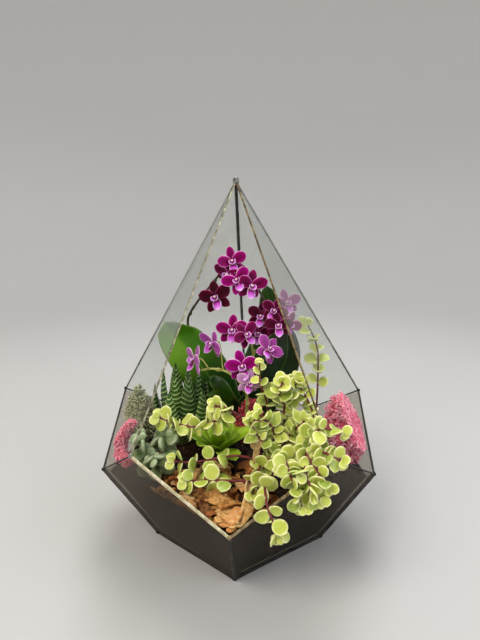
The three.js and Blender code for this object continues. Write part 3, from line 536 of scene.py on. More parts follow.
REACH = RING_RADIUS * cos(radians(STEP / 2))
VALLEY_HEIGHT = APEX_HEIGHT - (APEX_HEIGHT - SHOULDER_HEIGHT) / REACH * RING_RADIUS
WALL_SLOPE = (SHOULDER_HEIGHT - VALLEY_HEIGHT) / (RING_RADIUS - REACH)
FOOT_RADIUS = (REACH - (VALLEY_HEIGHT - BASE_MIDDLE) / WALL_SLOPE) / cos(radians(STEP / 2))
CORNERS = {"apex": np.array([0.0, 0.0, APEX_HEIGHT])}
for k in range(SIDES):
    CORNERS[f"valley{k}"] = ring_point(RING_RADIUS, k * STEP, VALLEY_HEIGHT)
    CORNERS[f"shoulder{k}"] = ring_point(RING_RADIUS, (k + 0.5) * STEP, SHOULDER_HEIGHT)
    CORNERS[f"foot{k}"] = ring_point(FOOT_RADIUS, k * STEP, BASE_MIDDLE)
PANES = []
for k in range(SIDES):
    after, before = (k + 1) % SIDES, (k - 1) % SIDES
    PANES.append(("apex", f"shoulder{before}", f"valley{k}", f"shoulder{k}"))
    PANES.append((f"valley{k}", f"foot{k}", f"foot{after}", f"valley{after}", f"shoulder{k}"))
PANES.append(tuple(f"foot{k}" for k in reversed(range(SIDES))))
MOUTH = PANES[0]


def pane_plane(names):
    """A pane's corners, its outward normal and its distance from the origin."""
    a, b, c = (CORNERS[n] for n in names[:3])
    normal = unit(np.cross(b - a, c - a))
    return names, normal, normal @ a


PLANES = [pane_plane(names) for names in PANES]
LEAF_GAP = 3.0


def held_inside(points, gap=LEAF_GAP):
    """Points nearer to a pane's outer face than the gap, or past it, are brought back inside."""
    points = np.array(points, float)
    for _, normal, distance in PLANES[1:]:
        over = np.maximum(points @ normal - (distance - gap), 0)
        points -= over[..., None] * normal
    return points


def pane_edges(names, normal):
    """Each edge of a pane: its two corners and the way into the pane."""
    for start, end in zip(names, names[1:] + names[:1]):
        yield start, end, np.cross(normal, unit(CORNERS[end] - CORNERS[start]))


def seams():
    """Each edge as [from, to, [(normal, way into the pane), ...], whether it is at the mouth]."""
    found = {}
    for names, normal, _ in PLANES:
        for start, end, inward in pane_edges(names, normal):
            seam = found.setdefault(frozenset((start, end)), [start, end, [], False])
            if names == MOUTH:
                seam[3] = True
            else:
                seam[2].append((normal, inward))
    return found.values()


def seam_profile(sides, flange, swell):
    """Points round the cut face of a seam, as offsets from the vessel's edge."""
    half = GLASS / 2 + swell
    if len(sides) == 1:
        (n, d), = sides
        spots = [d * inward + n * high for inward, high in (
            (flange, half - 0.35), (0.45 * flange, half), (-0.3, half * 0.7),
            (-0.3, -half * 0.7), (0.45 * flange, -half), (flange, 0.35 - half))]
    else:
        (n1, d1), (n2, d2) = sides
        out = unit(n1 + n2)
        spots = [d1 * flange + n1 * (half - 0.3), out * half * 1.3, d2 * flange + n2 * (half - 0.3),
                 d2 * flange - n2 * (half - 0.4), out * (-1.3 if swell < -0.3 else -2.5),
                 d1 * flange - n1 * (half - 0.4)]
    a, b, c, d = (np.roll(spots, k, axis=0) for k in (1, 0, -1, -2))
    fine = [b + (c - a) * t / 2 + (a - 2.5 * b + 2 * c - d / 2) * t ** 2
            + (3 * b - 3 * c + d - a) * t ** 3 / 2 for t in (0, 1 / 3, 2 / 3)]
    return np.stack(fine, 1).reshape(-1, 3)


def seam_kind(start, end, at_mouth):
    """Which of the solders a seam has, how far it reaches over the glass, and how thick it is; the solder's
    tone is partly painted light and shade, bright on the lit mouth and dark on shaded seams.
    """
    if "apex" not in (start, end):
        if at_mouth:
            return ("brown", 1.4, 0.1) if "shoulder0" in (start, end) else ("bright", 1.4, 0.2)
        return ("dark", 1.3, 0.2) if "foot" in start + end else ("dark", 0.8, -0.4)
    if at_mouth:
        return "brown" if "shoulder0" in (start, end) else "brass", 1.0, -0.3
    return ("dark", 1.3, 0.3) if "shoulder2" in (start, end) else ("slate", 0.5, -0.5)


def make_seams():
    draw = default_rng(11)
    mouth, others = Body(), Body()
    homes = {"bright": (mouth, 0), "brass": (mouth, 1), "brown": (mouth, 3), "dark": (others, 0),
             "slate": (others, 1)}
    for start, end, sides, at_mouth in seams():
        a, b = CORNERS[start], CORNERS[end]
        kind, flange, swell = seam_kind(start, end, at_mouth)
        profile = seam_profile(sides, flange, swell)
        rings, around = int(np.linalg.norm(b - a) / SEAM_STEP) + 1, len(profile)
        lumps = draw.normal(0, 1, (rings, around))
        for _ in range(2):
            near = [np.roll(lumps, step, axis) for step in (1, -1) for axis in (0, 1)]
            lumps = (lumps + sum(near)) / 3.2
        share = np.linspace(0, 1, rings)[:, None, None]
        points = a + share * (b - a) + profile * (1 + 0.05 * lumps[..., None])
        points[..., 2] = np.maximum(points[..., 2], 0)
        winding = np.cross(profile[1] - profile[0], profile[2] - profile[1]) @ (b - a) > 0
        body, paint = homes[kind]
        body.add(points, tube(rings, around, not winding), (0, 0, 0), paint)
    for name, spot in CORNERS.items():
        if name == "apex":
            blob(mouth, spot, (3.4, 3.4, 4.2), 0.06, draw, 12, 16, paint=2)
        elif name in MOUTH:
            blob(mouth, spot, (2.2, 2.2, 2.2), 0.05, draw, paint=3 if name == "valley0" else 2)
        else:
            reach = (3.0, 3.0, 2.0) if name.startswith("foot") else (2.2, 2.2, 2.2)
            blob(others, spot, reach, 0.05, draw)
    roofs = [f"foil_roof_{n}" for n in ("right_front", "right_back", "left_back", "left_front")]
    walls = [f"foil_wall_{n}" for n in ("right_front", "right_back", "back", "left_back", "left_front")]
    others.piece("seams", [DARK, SLATE], "foil", [*roofs, *walls, "foil_base"])
    mouth.piece("mouth_seams", [BRIGHT, BRASS, GREY, BROWN], "solder", ["apex_solder"])


def ball_grid(rows, columns):
    """Points of a unit ball and its faces."""
    polar = np.linspace(0, pi, rows + 1)[1:-1, None]
    turn = around_circle(columns)
    rings = joined(np.sin(polar) * np.cos(turn), np.sin(polar) * np.sin(turn), np.cos(polar)).reshape(-1, 3)
    return np.concatenate([rings, [[0, 0, 1], [0, 0, -1]]]), closed(rows - 1, columns, True)


def blob(body, centre, reach, rough, draw, rows=9, columns=12, tone=0.0, paint=0, depth=0.0, gap=-inf):
    points, faces = ball_grid(rows, columns)
    points = points * (1 + rough * draw.normal(0, 1, (len(points), 1))) * reach + centre
    body.add(held_inside(points, gap), faces, (depth, 0.5, tone), paint)


# Soil, bark and moss

SOIL_EDGE, SOIL_RISE = 88, 24
CRUMBS = 900
SOIL_GAP, SOIL_FOOT = 3.2, 4.8
SOIL_COLUMNS, MOUND_RINGS = 144, 40
RIM_HEIGHT = 92
BARK_CENTRE, BARK_REACH = (-22, -106), (66, 42)
BARK_CHIPS = 120
MOSS_TAPER = 0.28


def soil_height(x, y):
    reach = (x * x + y * y) / RING_RADIUS ** 2
    bumps = 1.4 * np.sin(x * 0.11 + 1) * np.cos(y * 0.13) + 0.8 * np.sin(x * 0.31 + y * 0.23)
    return SOIL_EDGE + SOIL_RISE * (1 - reach) + bumps


def on_soil(x, y, above):
    return np.array([x, y, soil_height(x, y) + above])


def soil_rim(turn, height):
    """How far from the middle the soil reaches, at a height and for each direction."""
    ways = joined(np.cos(turn), np.sin(turn))
    reach = np.full(len(turn), 1e3)
    for _, normal, distance in PLANES:
        across = ways @ normal[:2]
        room = distance - SOIL_GAP - normal[2] * height
        reach = np.where(across > 1e-6, np.minimum(reach, room / np.maximum(across, 1e-6)), reach)
    return reach


def make_soil():
    """A crumbly mound: rings on top, then down the glass to the base."""
    draw = default_rng(3)
    turn = around_circle(SOIL_COLUMNS)
    edge = soil_rim(turn, RIM_HEIGHT)
    rings = []
    for share in np.linspace(0.02, 1, MOUND_RINGS):
        x, y = edge * share * np.cos(turn), edge * share * np.sin(turn)
        z = soil_height(x, y) + draw.normal(0, 0.9, SOIL_COLUMNS) * (share < 0.99)
        rings.append(held_inside(joined(x, y, z)))
    for height in (70, 46, 22, SOIL_FOOT):
        reach = soil_rim(turn, height)
        rings.append(joined(reach * np.cos(turn), reach * np.sin(turn), height))
    points = np.concatenate([*rings, [on_soil(0, 0, 0), (0, 0, SOIL_FOOT)]])
    body = Body()
    loose = np.arange(len(points)) < (MOUND_RINGS - 2) * SOIL_COLUMNS
    body.add(points, closed(len(rings), SOIL_COLUMNS, True), np.outer(loose, (1, 0, 0.35)))
    for i in range(CRUMBS):
        turn, share = i * GOLDEN_TURN, 0.94 * sqrt((i + 0.5) / CRUMBS)
        reach = soil_rim(np.array([turn]), RIM_HEIGHT)[0] * share
        x, y = (reach * f(turn) + draw.normal(0, 1.5) for f in (cos, sin))
        size = draw.uniform(1.0, 2.6)
        reach = (size, size * draw.uniform(0.6, 1), 0.8 * size)
        blob(body, on_soil(x, y, 0.4 * size), reach, 0.12, draw, 4, 6, draw.uniform(0, 1), depth=1.0,
             gap=LEAF_GAP)
    body.piece("soil_mound", [soil_skin()], "soil", ["soil"])


def bark_chip(body, draw, centre, length, width, yaw, tilt, roll, curl, tone, orange):
    rows, columns = 9, 6
    u = np.linspace(-0.5, 0.5, rows)[:, None] + draw.normal(0, 0.02, (rows, columns))
    v = np.linspace(-0.5, 0.5, columns)
    taper = 1 - 0.5 * np.abs(u * 2) ** 2.5 * draw.uniform(0.4, 1)
    x = u * length + draw.normal(0, length * 0.03, (1, columns))
    y = v * width * taper + 0.6 * np.sin(u * 9 + draw.uniform(0, 6))
    z = curl * (0.72 * v * v * width - 0.25 * u * u * length) + draw.normal(0, 0.28, (rows, columns))
    turn = np.array(Euler(np.radians((roll, tilt, yaw))).to_matrix())
    grid = held_inside(joined(x, y, z) @ turn.T + centre, 4.2)
    thick = draw.uniform(1.6, 3.2) * (1 - 0.55 * np.abs(2 * v) ** 3) * (1 - 0.4 * np.abs(2 * u) ** 4)
    slab(body, grid, thick, joined(u + 0.5, orange, tone))


# Chips that lie on top: (x, y, above the soil), length, width, yaw, tilt, roll, curl, tone, how orange
TOP_CHIPS = (
    ((16, -118, 11), 30, 13, 80, -38, 30, 2.4, 0.92, 0.2),
    ((2, -128, 9), 30, 13, 30, 14, -20, 1.2, 0.62, 0.75),
    ((-10, -124, 8), 34, 14, -24, 6, 10, 0.8, 0.7, 0.55),
    ((4, -142, 9), 20, 11, 60, -14, 12, 0.8, 0.85, 0.98),
    ((14, -134, 10), 26, 12, 70, -24, 22, 0.8, 0.8, 0.2),
    ((-4, -138, 8), 30, 12, -42, -4, 16, 0.8, 0.8, 0.3),
    ((-3, -147, 6), 16, 10, 0, 4, 0, 0.4, 0.7, 0.8),
    ((1, -150, 5), 14, 9, 80, -6, 6, 0.4, 0.75, 0.9),
    ((5, -148, 6), 13, 8, 30, 8, -8, 0.5, 0.85, 0.3),
    ((-34, -112, 8), 30, 12, -40, 4, 18, 1.0, 0.4, 0.2),
    ((-52, -100, 9), 26, 10, 82, 24, 20, 1.4, 0.42, 0.95),
    ((-60, -92, 8), 20, 9, 60, 40, 0, 1.0, 0.35, 0.9),
    ((-44, -92, 8), 24, 11, 10, 8, 24, 1.2, 0.75, 0.4),
    ((-8, -104, 7), 24, 12, -10, 4, -12, 0.9, 0.8, 0.1),
)


def make_bark():
    draw = default_rng(8)
    body = Body()
    for i in range(BARK_CHIPS):
        turn, reach = i * GOLDEN_TURN, sqrt((i + 0.5) / BARK_CHIPS)
        x = BARK_CENTRE[0] + BARK_REACH[0] * reach * cos(turn) + draw.normal(0, 2)
        y = BARK_CENTRE[1] + BARK_REACH[1] * reach * sin(turn) + draw.normal(0, 2)
        place = on_soil(x, y, 1.5 + draw.uniform(0, 5))
        bark_chip(body, draw, place, draw.uniform(12, 30), draw.uniform(4, 10), draw.uniform(0, 360),
                  draw.normal(0, 15), draw.normal(0, 24), draw.uniform(-0.6, 1.6), draw.uniform(0, 1),
                  draw.uniform(0, 1))
    for place, *chip in TOP_CHIPS:
        bark_chip(body, draw, on_soil(*place), *chip)
    blob(body, on_soil(-20, -112, 5.5), (10, 8, 8), 0.03, draw, 16, 20, tone=0.66)
    body.piece("bark_chips", [bark_skin()], "bark", ["bark_mulch"])


def ball_shape(centre, reach):
    """Takes points of a unit ball to a clump that is narrower at its top."""
    def shaped(ball):
        taper = 1 - MOSS_TAPER * ball[:, 2]
        return ball * joined(taper, taper, 1) * reach + centre
    return shaped


def roll_shape(spine, side, thick):
    """Takes points of a unit ball to a roll along a curve, thinner towards its end."""
    path = Path(spine)

    def shaped(ball):
        share = (ball[:, 2] + 1) / 2
        way = path.along(share)
        across = unit(np.cross(side, way))
        offset = ball[:, :1] * across + ball[:, 1:2] * np.cross(way, across)
        return path.at(share) + thick * (1 - MOSS_TAPER * ball[:, 2:3]) * offset
    return shaped


ROLL_SIDE = (0.8, 0.6, 0)
ROLL_SPINE = (
    (-116, -56, 99), (-131, -36, 100), (-142, -19, 103), (-138, -17, 120), (-126, -27, 138), (-113, -43, 151),
)
MOSS_PIECES = {
    "pink_moss_right": "pink_moss_tufts_right", "pink_moss_left": "pink_moss_tufts_left",
    "red_moss_middle": "red_moss_tufts", "green_moss_left": "green_moss_tufts",
}


def make_moss(node, slot, skin, shape, tufts, seed, fork=4, length=5.5, strand=0.95):
    """A clump of branching lichen: forked tufts over a rough core."""
    draw = default_rng(seed)
    body = Body()
    waves, phases = draw.normal(0, 6, (3, 3)), draw.uniform(0, 6, 3)

    def lumpy(ball, reach):
        return shape(ball * (reach + 0.08 * np.sin(ball @ waves + phases).sum(-1, keepdims=True)))

    points, faces = ball_grid(26, 34)
    core = held_inside(lumpy(points, 0.8 + 0.04 * draw.normal(0, 1, (len(points), 1))), 3.4)
    core[:, 2] = np.maximum(core[:, 2], soil_height(core[:, 0], core[:, 1]) - 1)
    # Painted shade: the core is marked low, so it is painted darker than the tufts
    body.add(core, faces, (0.3, 0, 0.5))
    for i in range(tufts):
        z = 1 - 2 * (i + 0.5) / tufts
        flat = sqrt(1 - z * z)
        way = np.array([flat * cos(i * GOLDEN_TURN), flat * sin(i * GOLDEN_TURN), z])
        root, outer = held_inside(lumpy(np.array([way, way]), np.array([[0.8], [1.0]])), 3.6)
        if root[2] < soil_height(root[0], root[1]) - 2:
            continue
        grow = unit(unit(outer - root + 1e-6) + draw.normal(0, 0.4, 3))
        tip = root + grow * length * draw.uniform(0.5, 1.15)
        bend = draw.normal(0, 0.7, 3)
        held = held_inside([root, (root + tip) / 2 + bend, tip])
        tone = draw.uniform(0, 1)
        rod(body, held, strand * np.array([1, 0.85, 0.6]), 3, tone, depth=0.35 + 0.25 * tone)
        for _ in range(fork):
            side = unit(grow + draw.normal(0, 0.8, 3))
            start = held[2] - (held[2] - held[1]) * draw.uniform(0, 0.9)
            ends = held_inside([start, start + side * length * draw.uniform(0.25, 0.6)], 2.8)
            rod(body, ends, strand * np.array([0.75, 0.45]), 3, tone, depth=0.65 + 0.35 * tone)
    body.piece(MOSS_PIECES[node], [skin], slot, [node])


# Orchid

BLOOMS = {
    "crown": [
        ((-4, -20, 327), (0.1, -1, 0.1), -12, 0.95, (-1, -6, 325), 0.42),
        ((-9, -24, 314), (-0.35, -1, -0.25), 20, 0.9, (-13, -2, 317), 0.15),
        ((2, -32, 308), (-0.1, -1, 0.15), -25, 0.95, (10, -8, 317), 0.45),
        ((17, -30, 302), (0.3, -1, -0.1), 8, 1, (23, -8, 298), 0.32),
    ],
    "upper_left": [((-22, -26, 289), (-0.1, -1, 0.05), -18, 1.05, (-30, 8, 298), 0.0)],
    "side": [((27, -22, 267), (-0.1, -1, 0.1), 6, 0.9, (33, -8, 279), 0.04)],
    "by_glass": [((57, 14, 276), (0.3, -1, 0.2), -10, 0.95, (44, -6, 268), 0.66)],
    "behind_seam": [((60, 4, 252), (0.6, -1, 0.1), 30, 0.9, (49, -5, 262), 0.45)],
    "right_pair": [
        ((46, -36, 260), (0, -1, 0.05), -6, 0.9, (47, -6, 263), 0.06),
        ((42, -31, 275), (-0.2, -1, 0.1), 25, 0.85, (40, -7, 272), 0.12),
    ],
    "inner": [((25, -18, 246), (-0.2, -1, 0.2), 5, 0.9, (17, -20, 234), 0.1)],
    "middle": [
        ((-4, -34, 254), (0, -1, 0.1), 0, 1, (12, -24, 250), 0.4),
        ((11, -38, 250), (0.5, -1, 0.2), -30, 0.9, (14, -22, 242), 0.28),
    ],
    "middle_left": [((-24, -44, 242), (-0.85, -0.8, -0.1), 35, 0.95, (-14, -39, 210), 0.78)],
    "low_left": [((-43, -53, 226), (-1, -0.6, 0), 15, 0.95, (-29, -42, 212), 0.83)],
    "low": [
        ((8, -56, 220), (0, -1, 0.15), -14, 1.05, (0, -34, 196), 0.55),
        ((15, -64, 205), (0.2, -1, 0.1), 12, 0.8, (8, -30, 186), 0.9),
    ],
    "low_right": [((35, -46, 236), (0.6, -1, 0.5), 40, 0.95, (19, -16, 226), 0.72)],
}
SPIKES = {
    "orchid_spike_upper": [[
        (-30, 50, 108), (-46, 56, 160), (-62, 56, 215), (-66, 48, 247), (-52, 30, 272), (-36, 13, 291),
        (-19, 1, 311), (-1, -6, 325), (17, -8, 309), (31, -8, 282), (49, -6, 260),
    ]],
    "orchid_spike_lower": [
        [(4, 14, 112), (10, -10, 150), (9, -28, 184), (-9, -38, 207), (-24, -41, 212), (-38, -42, 211)],
        [(9, -27, 180), (18, -18, 210), (17, -20, 234), (13, -24, 248)],
    ],
}
# Each leaf: its curve, width, the way it faces, its fold, where it is widest, and how light it is painted:
# painted light and shade, 1 for a lit leaf and near 0 for shaded ones
ORCHID_LEAVES = [
    ([(-10, 36, 116), (-32, 40, 163), (-62, 41, 207), (-80, 37, 230), (-91, 28, 249)],
     64, (-0.25, -0.9, 0.35), 0.12, 1.4, 1.0),
    ([(-4, 36, 116), (22, 40, 175), (40, 42, 240), (34, 38, 292)], 50, (-0.1, -1, 0.15), 0.1, 0.75, 0.12),
    ([(0, 32, 116), (34, 28, 160), (58, 27, 205), (58, 28, 246)], 44, (0.1, -1, 0.25), 0.14, 0.75, 0.0),
    ([(-10, 26, 116), (-20, 8, 150), (-26, -4, 176), (-32, -18, 190)],
     40, (-0.1, -0.7, 0.7), 0.16, 0.75, 0.18),
]
KNOT_SPACING = 34
PETAL, LIP, COLUMN = petal_skin(), lip_skin(), column_skin()


def rounded(widest, blunt, base):
    """An oval half width along a petal, with the share of its length where it is widest."""
    def profile(u):
        t = np.where(u < widest, (widest - u) / widest, (u - widest) / (1 - widest))
        return np.maximum(np.clip(1 - t ** blunt, 0, 1) ** 0.5, base * (1 - u))
    return profile


petal_profile = rounded(0.56, 1.9, 0.12)
sepal_profile = rounded(0.52, 1.8, 0.2)
lip_profile = rounded(0.58, 1.7, 0.36)
SEPAL, PETAL_SIZE, LIP_SIZE, LOBE = (16.8, 10.2), (18, 13.6), (14.8, 9.8), (8, 6.5)


def make_bloom(body, at, look, roll, size, start, tone, draw):
    """Sepals, petals, a lip with two lobes, and a column, in the bloom's frame (across, top, forward)."""
    forward = unit(look)
    side = unit(np.cross((0, 0, 1), forward))
    lean = radians(roll)
    top = np.cross(forward, side) * cos(lean) + side * sin(lean)
    own = np.array([np.cross(top, forward), top, forward])
    u, v = (1 - np.cos(np.linspace(0, pi, 13)))[:, None] / 2, np.linspace(-1, 1, 9)
    edge = np.maximum(np.abs(v), u ** 3)

    def put(spots):
        return at + size * (np.asarray(spots) @ own)

    def tepal(length, width, angle, tilt, level, cup, profile, ruffle=0.5, paint=0):
        y = width / 2 * profile(u) * v
        wave = ruffle * np.sin(5 * u + 2.4 * v + draw.uniform(0, 6)) * (np.abs(v) ** 2) * u
        z = cup * (u ** 2 + 2 * (y / width) ** 2) + wave - 0.35 * np.exp(-(v / 0.12) ** 2) * (1 - u)
        turn = radians(90 - angle)
        way = np.array([cos(turn), sin(turn), tan(radians(tilt))])
        local = joined(length * u * (1 - 0.05 * v ** 2 * u), y, z) @ basis(way, (0, 0, 1))
        grid = put(local + (0.6 * cos(turn), 0.6 * sin(turn), level))
        slab(body, grid, size * 0.55 * (1 - 0.5 * edge ** 4), joined(edge, u, tone), paint)

    for angle, tilt in ((0, 2), (134, -2), (-134, -2)):
        tepal(*SEPAL, angle + draw.normal(0, 5), tilt + draw.normal(0, 8), -0.8, -1.6, sepal_profile, 0.4)
    for angle in (70, -70):
        tepal(*PETAL_SIZE, angle + draw.normal(0, 6), 9 + draw.normal(0, 8), 0.8, draw.uniform(-2.4, 1.2),
              petal_profile)
    tepal(*LIP_SIZE, 180, 42, 0.6, -3, lip_profile, 0.9, 1)
    for angle in (118, -118):
        tepal(*LOBE, angle, 56, 0.8, 1.5, lip_profile, 0.2, 1)
    knob = [(0, 0.6, z) for z in (-1.5, 1, 3.2, 4.8, 5.6)]
    rod(body, put(knob), size * np.array([1.9, 1.6, 1.3, 1.4, 0.6]), 9, tone, 2)
    for sideways in (-1.2, 1.2):
        reach = size * np.array([0.8, 0.8, 1.1])
        blob(body, put((sideways, -2.6, 3.6)), reach, 0.02, draw, 6, 8, 1.0, 2, 1.0)
    share = np.linspace(0, 1, 12)
    thick = 1.0 if tone > 0.6 else 0.8
    rod(body, Path([at - 0.5 * forward, at - 7 * forward, start]).at(share),
        thick - 0.15 * np.sin(share * pi), 7, tone, 3)


def make_orchid():
    draw = default_rng(21)
    for name, blooms in BLOOMS.items():
        body = Body()
        for bloom in blooms:
            make_bloom(body, *bloom, draw)
        pedicel = PALE_STEM if blooms[0][5] > 0.6 else MAROON
        body.piece(f"flower_{name}", [PETAL, LIP, COLUMN, pedicel], "orchid_bloom", [f"orchid_bloom_{name}"])
    for node, branches in SPIKES.items():
        body = Body()
        for branch in branches:
            path = Path(branch)
            share = np.linspace(0, 1, int(path.length / 4))
            knots = 1 + 0.22 * (np.cos(share * path.length / KNOT_SPACING * FULL_TURN) > 0.93)
            rod(body, path.at(share), (1.9 - 0.8 * share) * knots, 9)
            for spot in np.arange(0.16, 0.96, KNOT_SPACING / path.length):
                way = path.along(spot)
                axes = basis(way + (0.2, -0.3, 0), (0.3, -1, 0.2))
                fleshy(body, path.at(spot) - way * 3, axes, 9, 4.5, 2.6, 0.5, sepal_profile,
                       lambda s, t: 0 * s, 12)
        skin = DARK_STEM if node.endswith("upper") else PALE_STEM
        body.piece(node.replace("orchid_", "flower_"), [skin], "orchid_spike", [node])


def make_orchid_leaves():
    body = Body()
    along, across = np.linspace(0, 1, 44)[:, None], np.linspace(-1, 1, 15)
    for spine, width, facing, fold, fullest, tone in ORCHID_LEAVES:
        path = Path(spine)
        way = path.along(along)
        side = unit(np.cross(way, unit(facing)))
        lift = unit(np.cross(side, way))
        swell = np.abs(np.sin(pi * (along ** fullest * 0.88 + 0.12))) ** 0.45
        half = np.maximum(width / 2 * swell, 3 * (1 - along) + 0.8)
        rise = fold * half * np.abs(across) ** 1.5 + 0.8 * np.sin(along * 7 + across * 2) * np.abs(across)
        grid = path.at(along) + side * (half * across)[..., None] + lift * rise[..., None]
        # Painted shade: the tone fades towards each leaf's base
        marks = joined(across, along, tone * np.clip((along - 0.4) / 0.3, 0.08, 1))
        slab(body, held_inside(grid), 2.0 * (1 - 0.6 * np.abs(across) ** 6), marks)
    body.piece("orchid_foliage", [strap_skin()], "orchid_leaf", ["orchid_leaves"])


# Zebra plant

ZEBRA_CENTRE = (-68, 2)
ZEBRA_RINGS = ((2, 8, 90, 240), (4, 18, 96, 300), (5, 36, 80, 254))
ZEBRA_WIDTH = 26
ZEBRA_STRIPES = 17


def zebra_leaf(body, foot, length, width, turn, lean, draw):
    """A stout pointed leaf; its bands are arched over its back."""
    rows, sides = 103, 20
    phase, tone = draw.uniform(0, 6), draw.uniform(0, 1)
    along = np.linspace(0, 1, rows)[:, None]
    wide, deep = np.cos(around_circle(sides)), np.sin(around_circle(sides))
    half = np.maximum(width / 2 * (1 - along ** 2.4) ** 0.85, 0.25)
    tilt = np.radians(lean * (1.25 - 0.7 * along))
    wave = 0.14 * np.sin(wide * 3.2 + phase + along * 9) - 0.7 * np.abs(wide) ** 1.5
    stripe = np.clip(np.sin((along * ZEBRA_STRIPES + wave) * FULL_TURN) * 2.2 - 1.1, 0, 1) * (along < 0.95)
    bulge = 0.7 * stripe
    out = deep * (half * np.where(deep > 0, 0.62, 0.16) + bulge)
    local = joined(5 + length * along * np.sin(tilt) + out * np.cos(tilt),
                   wide * (half + bulge * np.abs(wide)),
                   length * along * np.cos(tilt) - out * np.sin(tilt))
    spin = np.array(Euler((0, 0, radians(turn))).to_matrix())
    marks = joined(stripe, along, tone).reshape(-1, 3)
    body.add(held_inside(local @ spin.T + foot), tube(rows, sides, True), marks)


def make_zebra():
    draw = default_rng(5)
    body = Body()
    foot = on_soil(*ZEBRA_CENTRE, -1)
    for count, lean, length, turn in ZEBRA_RINGS:
        for i in range(count):
            zebra_leaf(body, foot, length, ZEBRA_WIDTH, turn + 360 * i / count, lean, draw)
    blob(body, foot + (0, 0, 4), (9, 9, 8), 0.02, draw, 10, 14)
    body.piece("zebra_leaves", [zebra_skin()], "zebra_leaf", ["zebra_plant"])


# Green rosette

ROSETTE_CENTRE = (-20, -43)
ROSETTE_LEAVES = 12


def rosette_profile(s):
    return np.interp(s, [0, 0.1, 0.35, 0.6, 0.8, 0.92, 1], [0.25, 0.5, 0.8, 0.97, 0.86, 0.5, 0])


def make_rosette():
    draw = dice(23)
    body = Body()
    foot = on_soil(*ROSETTE_CENTRE, 7)
    u, v = np.linspace(0, 1, 15)[:, None], np.linspace(-1, 1, 9)
    edge = np.maximum(np.abs(v), u ** 6)
    for i in range(ROSETTE_LEAVES):
        age = i / (ROSETTE_LEAVES - 1)
        turn, rise = i * GOLDEN_TURN, radians(70 - 56 * age)
        length = 28 + 24 * age + 4 * draw()
        half = (9 + 4 * age) * rosette_profile(u)
        axis = (cos(turn) * cos(rise), sin(turn) * cos(rise), sin(rise))
        local = joined(length * u, half * v, 0.32 * half * np.abs(v) ** 1.6 - 4 * age * u ** 2)
        grid = held_inside(foot + local @ basis(axis, (0, 0, 1)))
        slab(body, grid, 2.4 * (1 - 0.75 * edge ** 3), joined(edge, u, 0.3 + 0.25 * (i % 3)))
    skin = plain_leaf_skin("rosette_leaf", "#5f8212", "#a2c42c", "#b8cf5a", 0.32)
    body.piece("rosette_leaves", [skin], "rosette_leaf", ["green_rosette"])


# Leafy stems

LIGHT = np.array([0.05, -0.85, 0.52])
LEAF = (16.5, 15, 2.3)
TRAILING = {
    "left": [
        ([(30, -68, 98), (22, -76, 150), (4, -80, 176), (-21, -80, 168), (-40, -80, 162), (-62, -78, 165),
          (-78, -76, 170)], 6, 1.08, 0.5),
        ([(4, -80, 176), (-8, -80, 183), (-20, -82, 186)], 2, 0.9, 0.3),
    ],
    "low_left": [
        ([(26, -84, 96), (24, -92, 130), (4, -96, 139), (-16, -98, 137), (-42, -98, 132), (-60, -98, 133)],
         4, 1, 0.5),
    ],
    "bark": [
        ([(22, -98, 94), (20, -106, 116), (4, -112, 121), (-22, -112, 121), (-46, -112, 120)], 4, 1, 0.5),
    ],
    "sprig": [
        ([(38, -60, 98), (36, -66, 150), (33, -70, 188), (27, -72, 206), (26, -74, 228)], 4, 0.75, 0.6),
    ],
    "top": [
        ([(52, -58, 98), (52, -70, 150), (52, -76, 188), (59, -78, 204), (66, -78, 212)], 5, 1.05, 0.5),
        ([(52, -76, 186), (46, -82, 200), (49, -84, 213)], 2, 1.05, 0.3),
    ],
    "seam": [([(70, -62, 98), (80, -78, 145), (80, -80, 178), (70, -76, 200), (62, -72, 212)], 5, 0.85, 0.4)],
    "right": [
        ([(76, -74, 96), (76, -92, 140), (76, -108, 166), (79, -126, 182), (89, -134, 187), (100, -134, 184)],
         5, 0.95, 0.35),
        ([(76, -100, 153), (79, -122, 160), (85, -138, 166), (98, -143, 161)], 4, 0.95, 0.2),
    ],
    "over_rim": [
        ([(66, -84, 95), (66, -102, 140), (67, -122, 160), (73, -140, 158), (81, -149, 148), (86, -150, 140)],
         5, 1, 0.4),
        ([(68, -128, 160), (67, -144, 152), (72, -151, 139), (79, -151, 128)], 4, 1, 0.3),
    ],
    "cascade": [
        ([(54, -90, 94), (52, -106, 136), (51, -130, 152), (55, -146, 145), (60, -151, 134), (64, -152, 122)],
         6, 1, 0.4),
    ],
    "tip": [
        ([(36, -98, 94), (30, -112, 126), (31, -134, 130), (34, -152, 119), (40, -154, 104), (44, -152, 92)],
         6, 1, 0.4),
    ],
    "front": [([(38, -84, 96), (28, -104, 134), (23, -120, 128), (20, -130, 118)], 4, 1, 0.4)],
    "heart": [
        ([(48, -76, 96), (42, -90, 140), (38, -98, 172), (26, -102, 186)], 5, 1, 0.35),
        ([(44, -86, 130), (55, -94, 160), (70, -98, 178)], 4, 1, 0.35),
        ([(43, -88, 134), (50, -106, 150), (46, -120, 140)], 3, 1, 0.4),
        ([(42, -90, 140), (28, -104, 160), (17, -106, 180)], 3, 0.9, 0.4),
    ],
    "upright": [
        ([(88, 6, 96), (94, 8, 150), (95, 10, 190), (94, 12, 219), (90, 17, 233), (83, 21, 247)],
         6, 1.15, 0.5, 20),
    ],
}
# Withered leaves on the stem in the middle: where each starts, its way, length and width
DRY_LEAVES = (
    ((28, -104, 161), (-0.75, -0.1, -0.65), 13, 11),
    ((26, -104, 163), (-0.2, -0.25, -1), 27, 6),
    ((36, -98, 140), (-0.6, -0.5, -0.7), 12, 9),
)
STEM_RADIUS = 1.3
DENSE = ("left", "heart", "right", "top", "seam", "over_rim", "cascade")
POINTED = ("heart",)
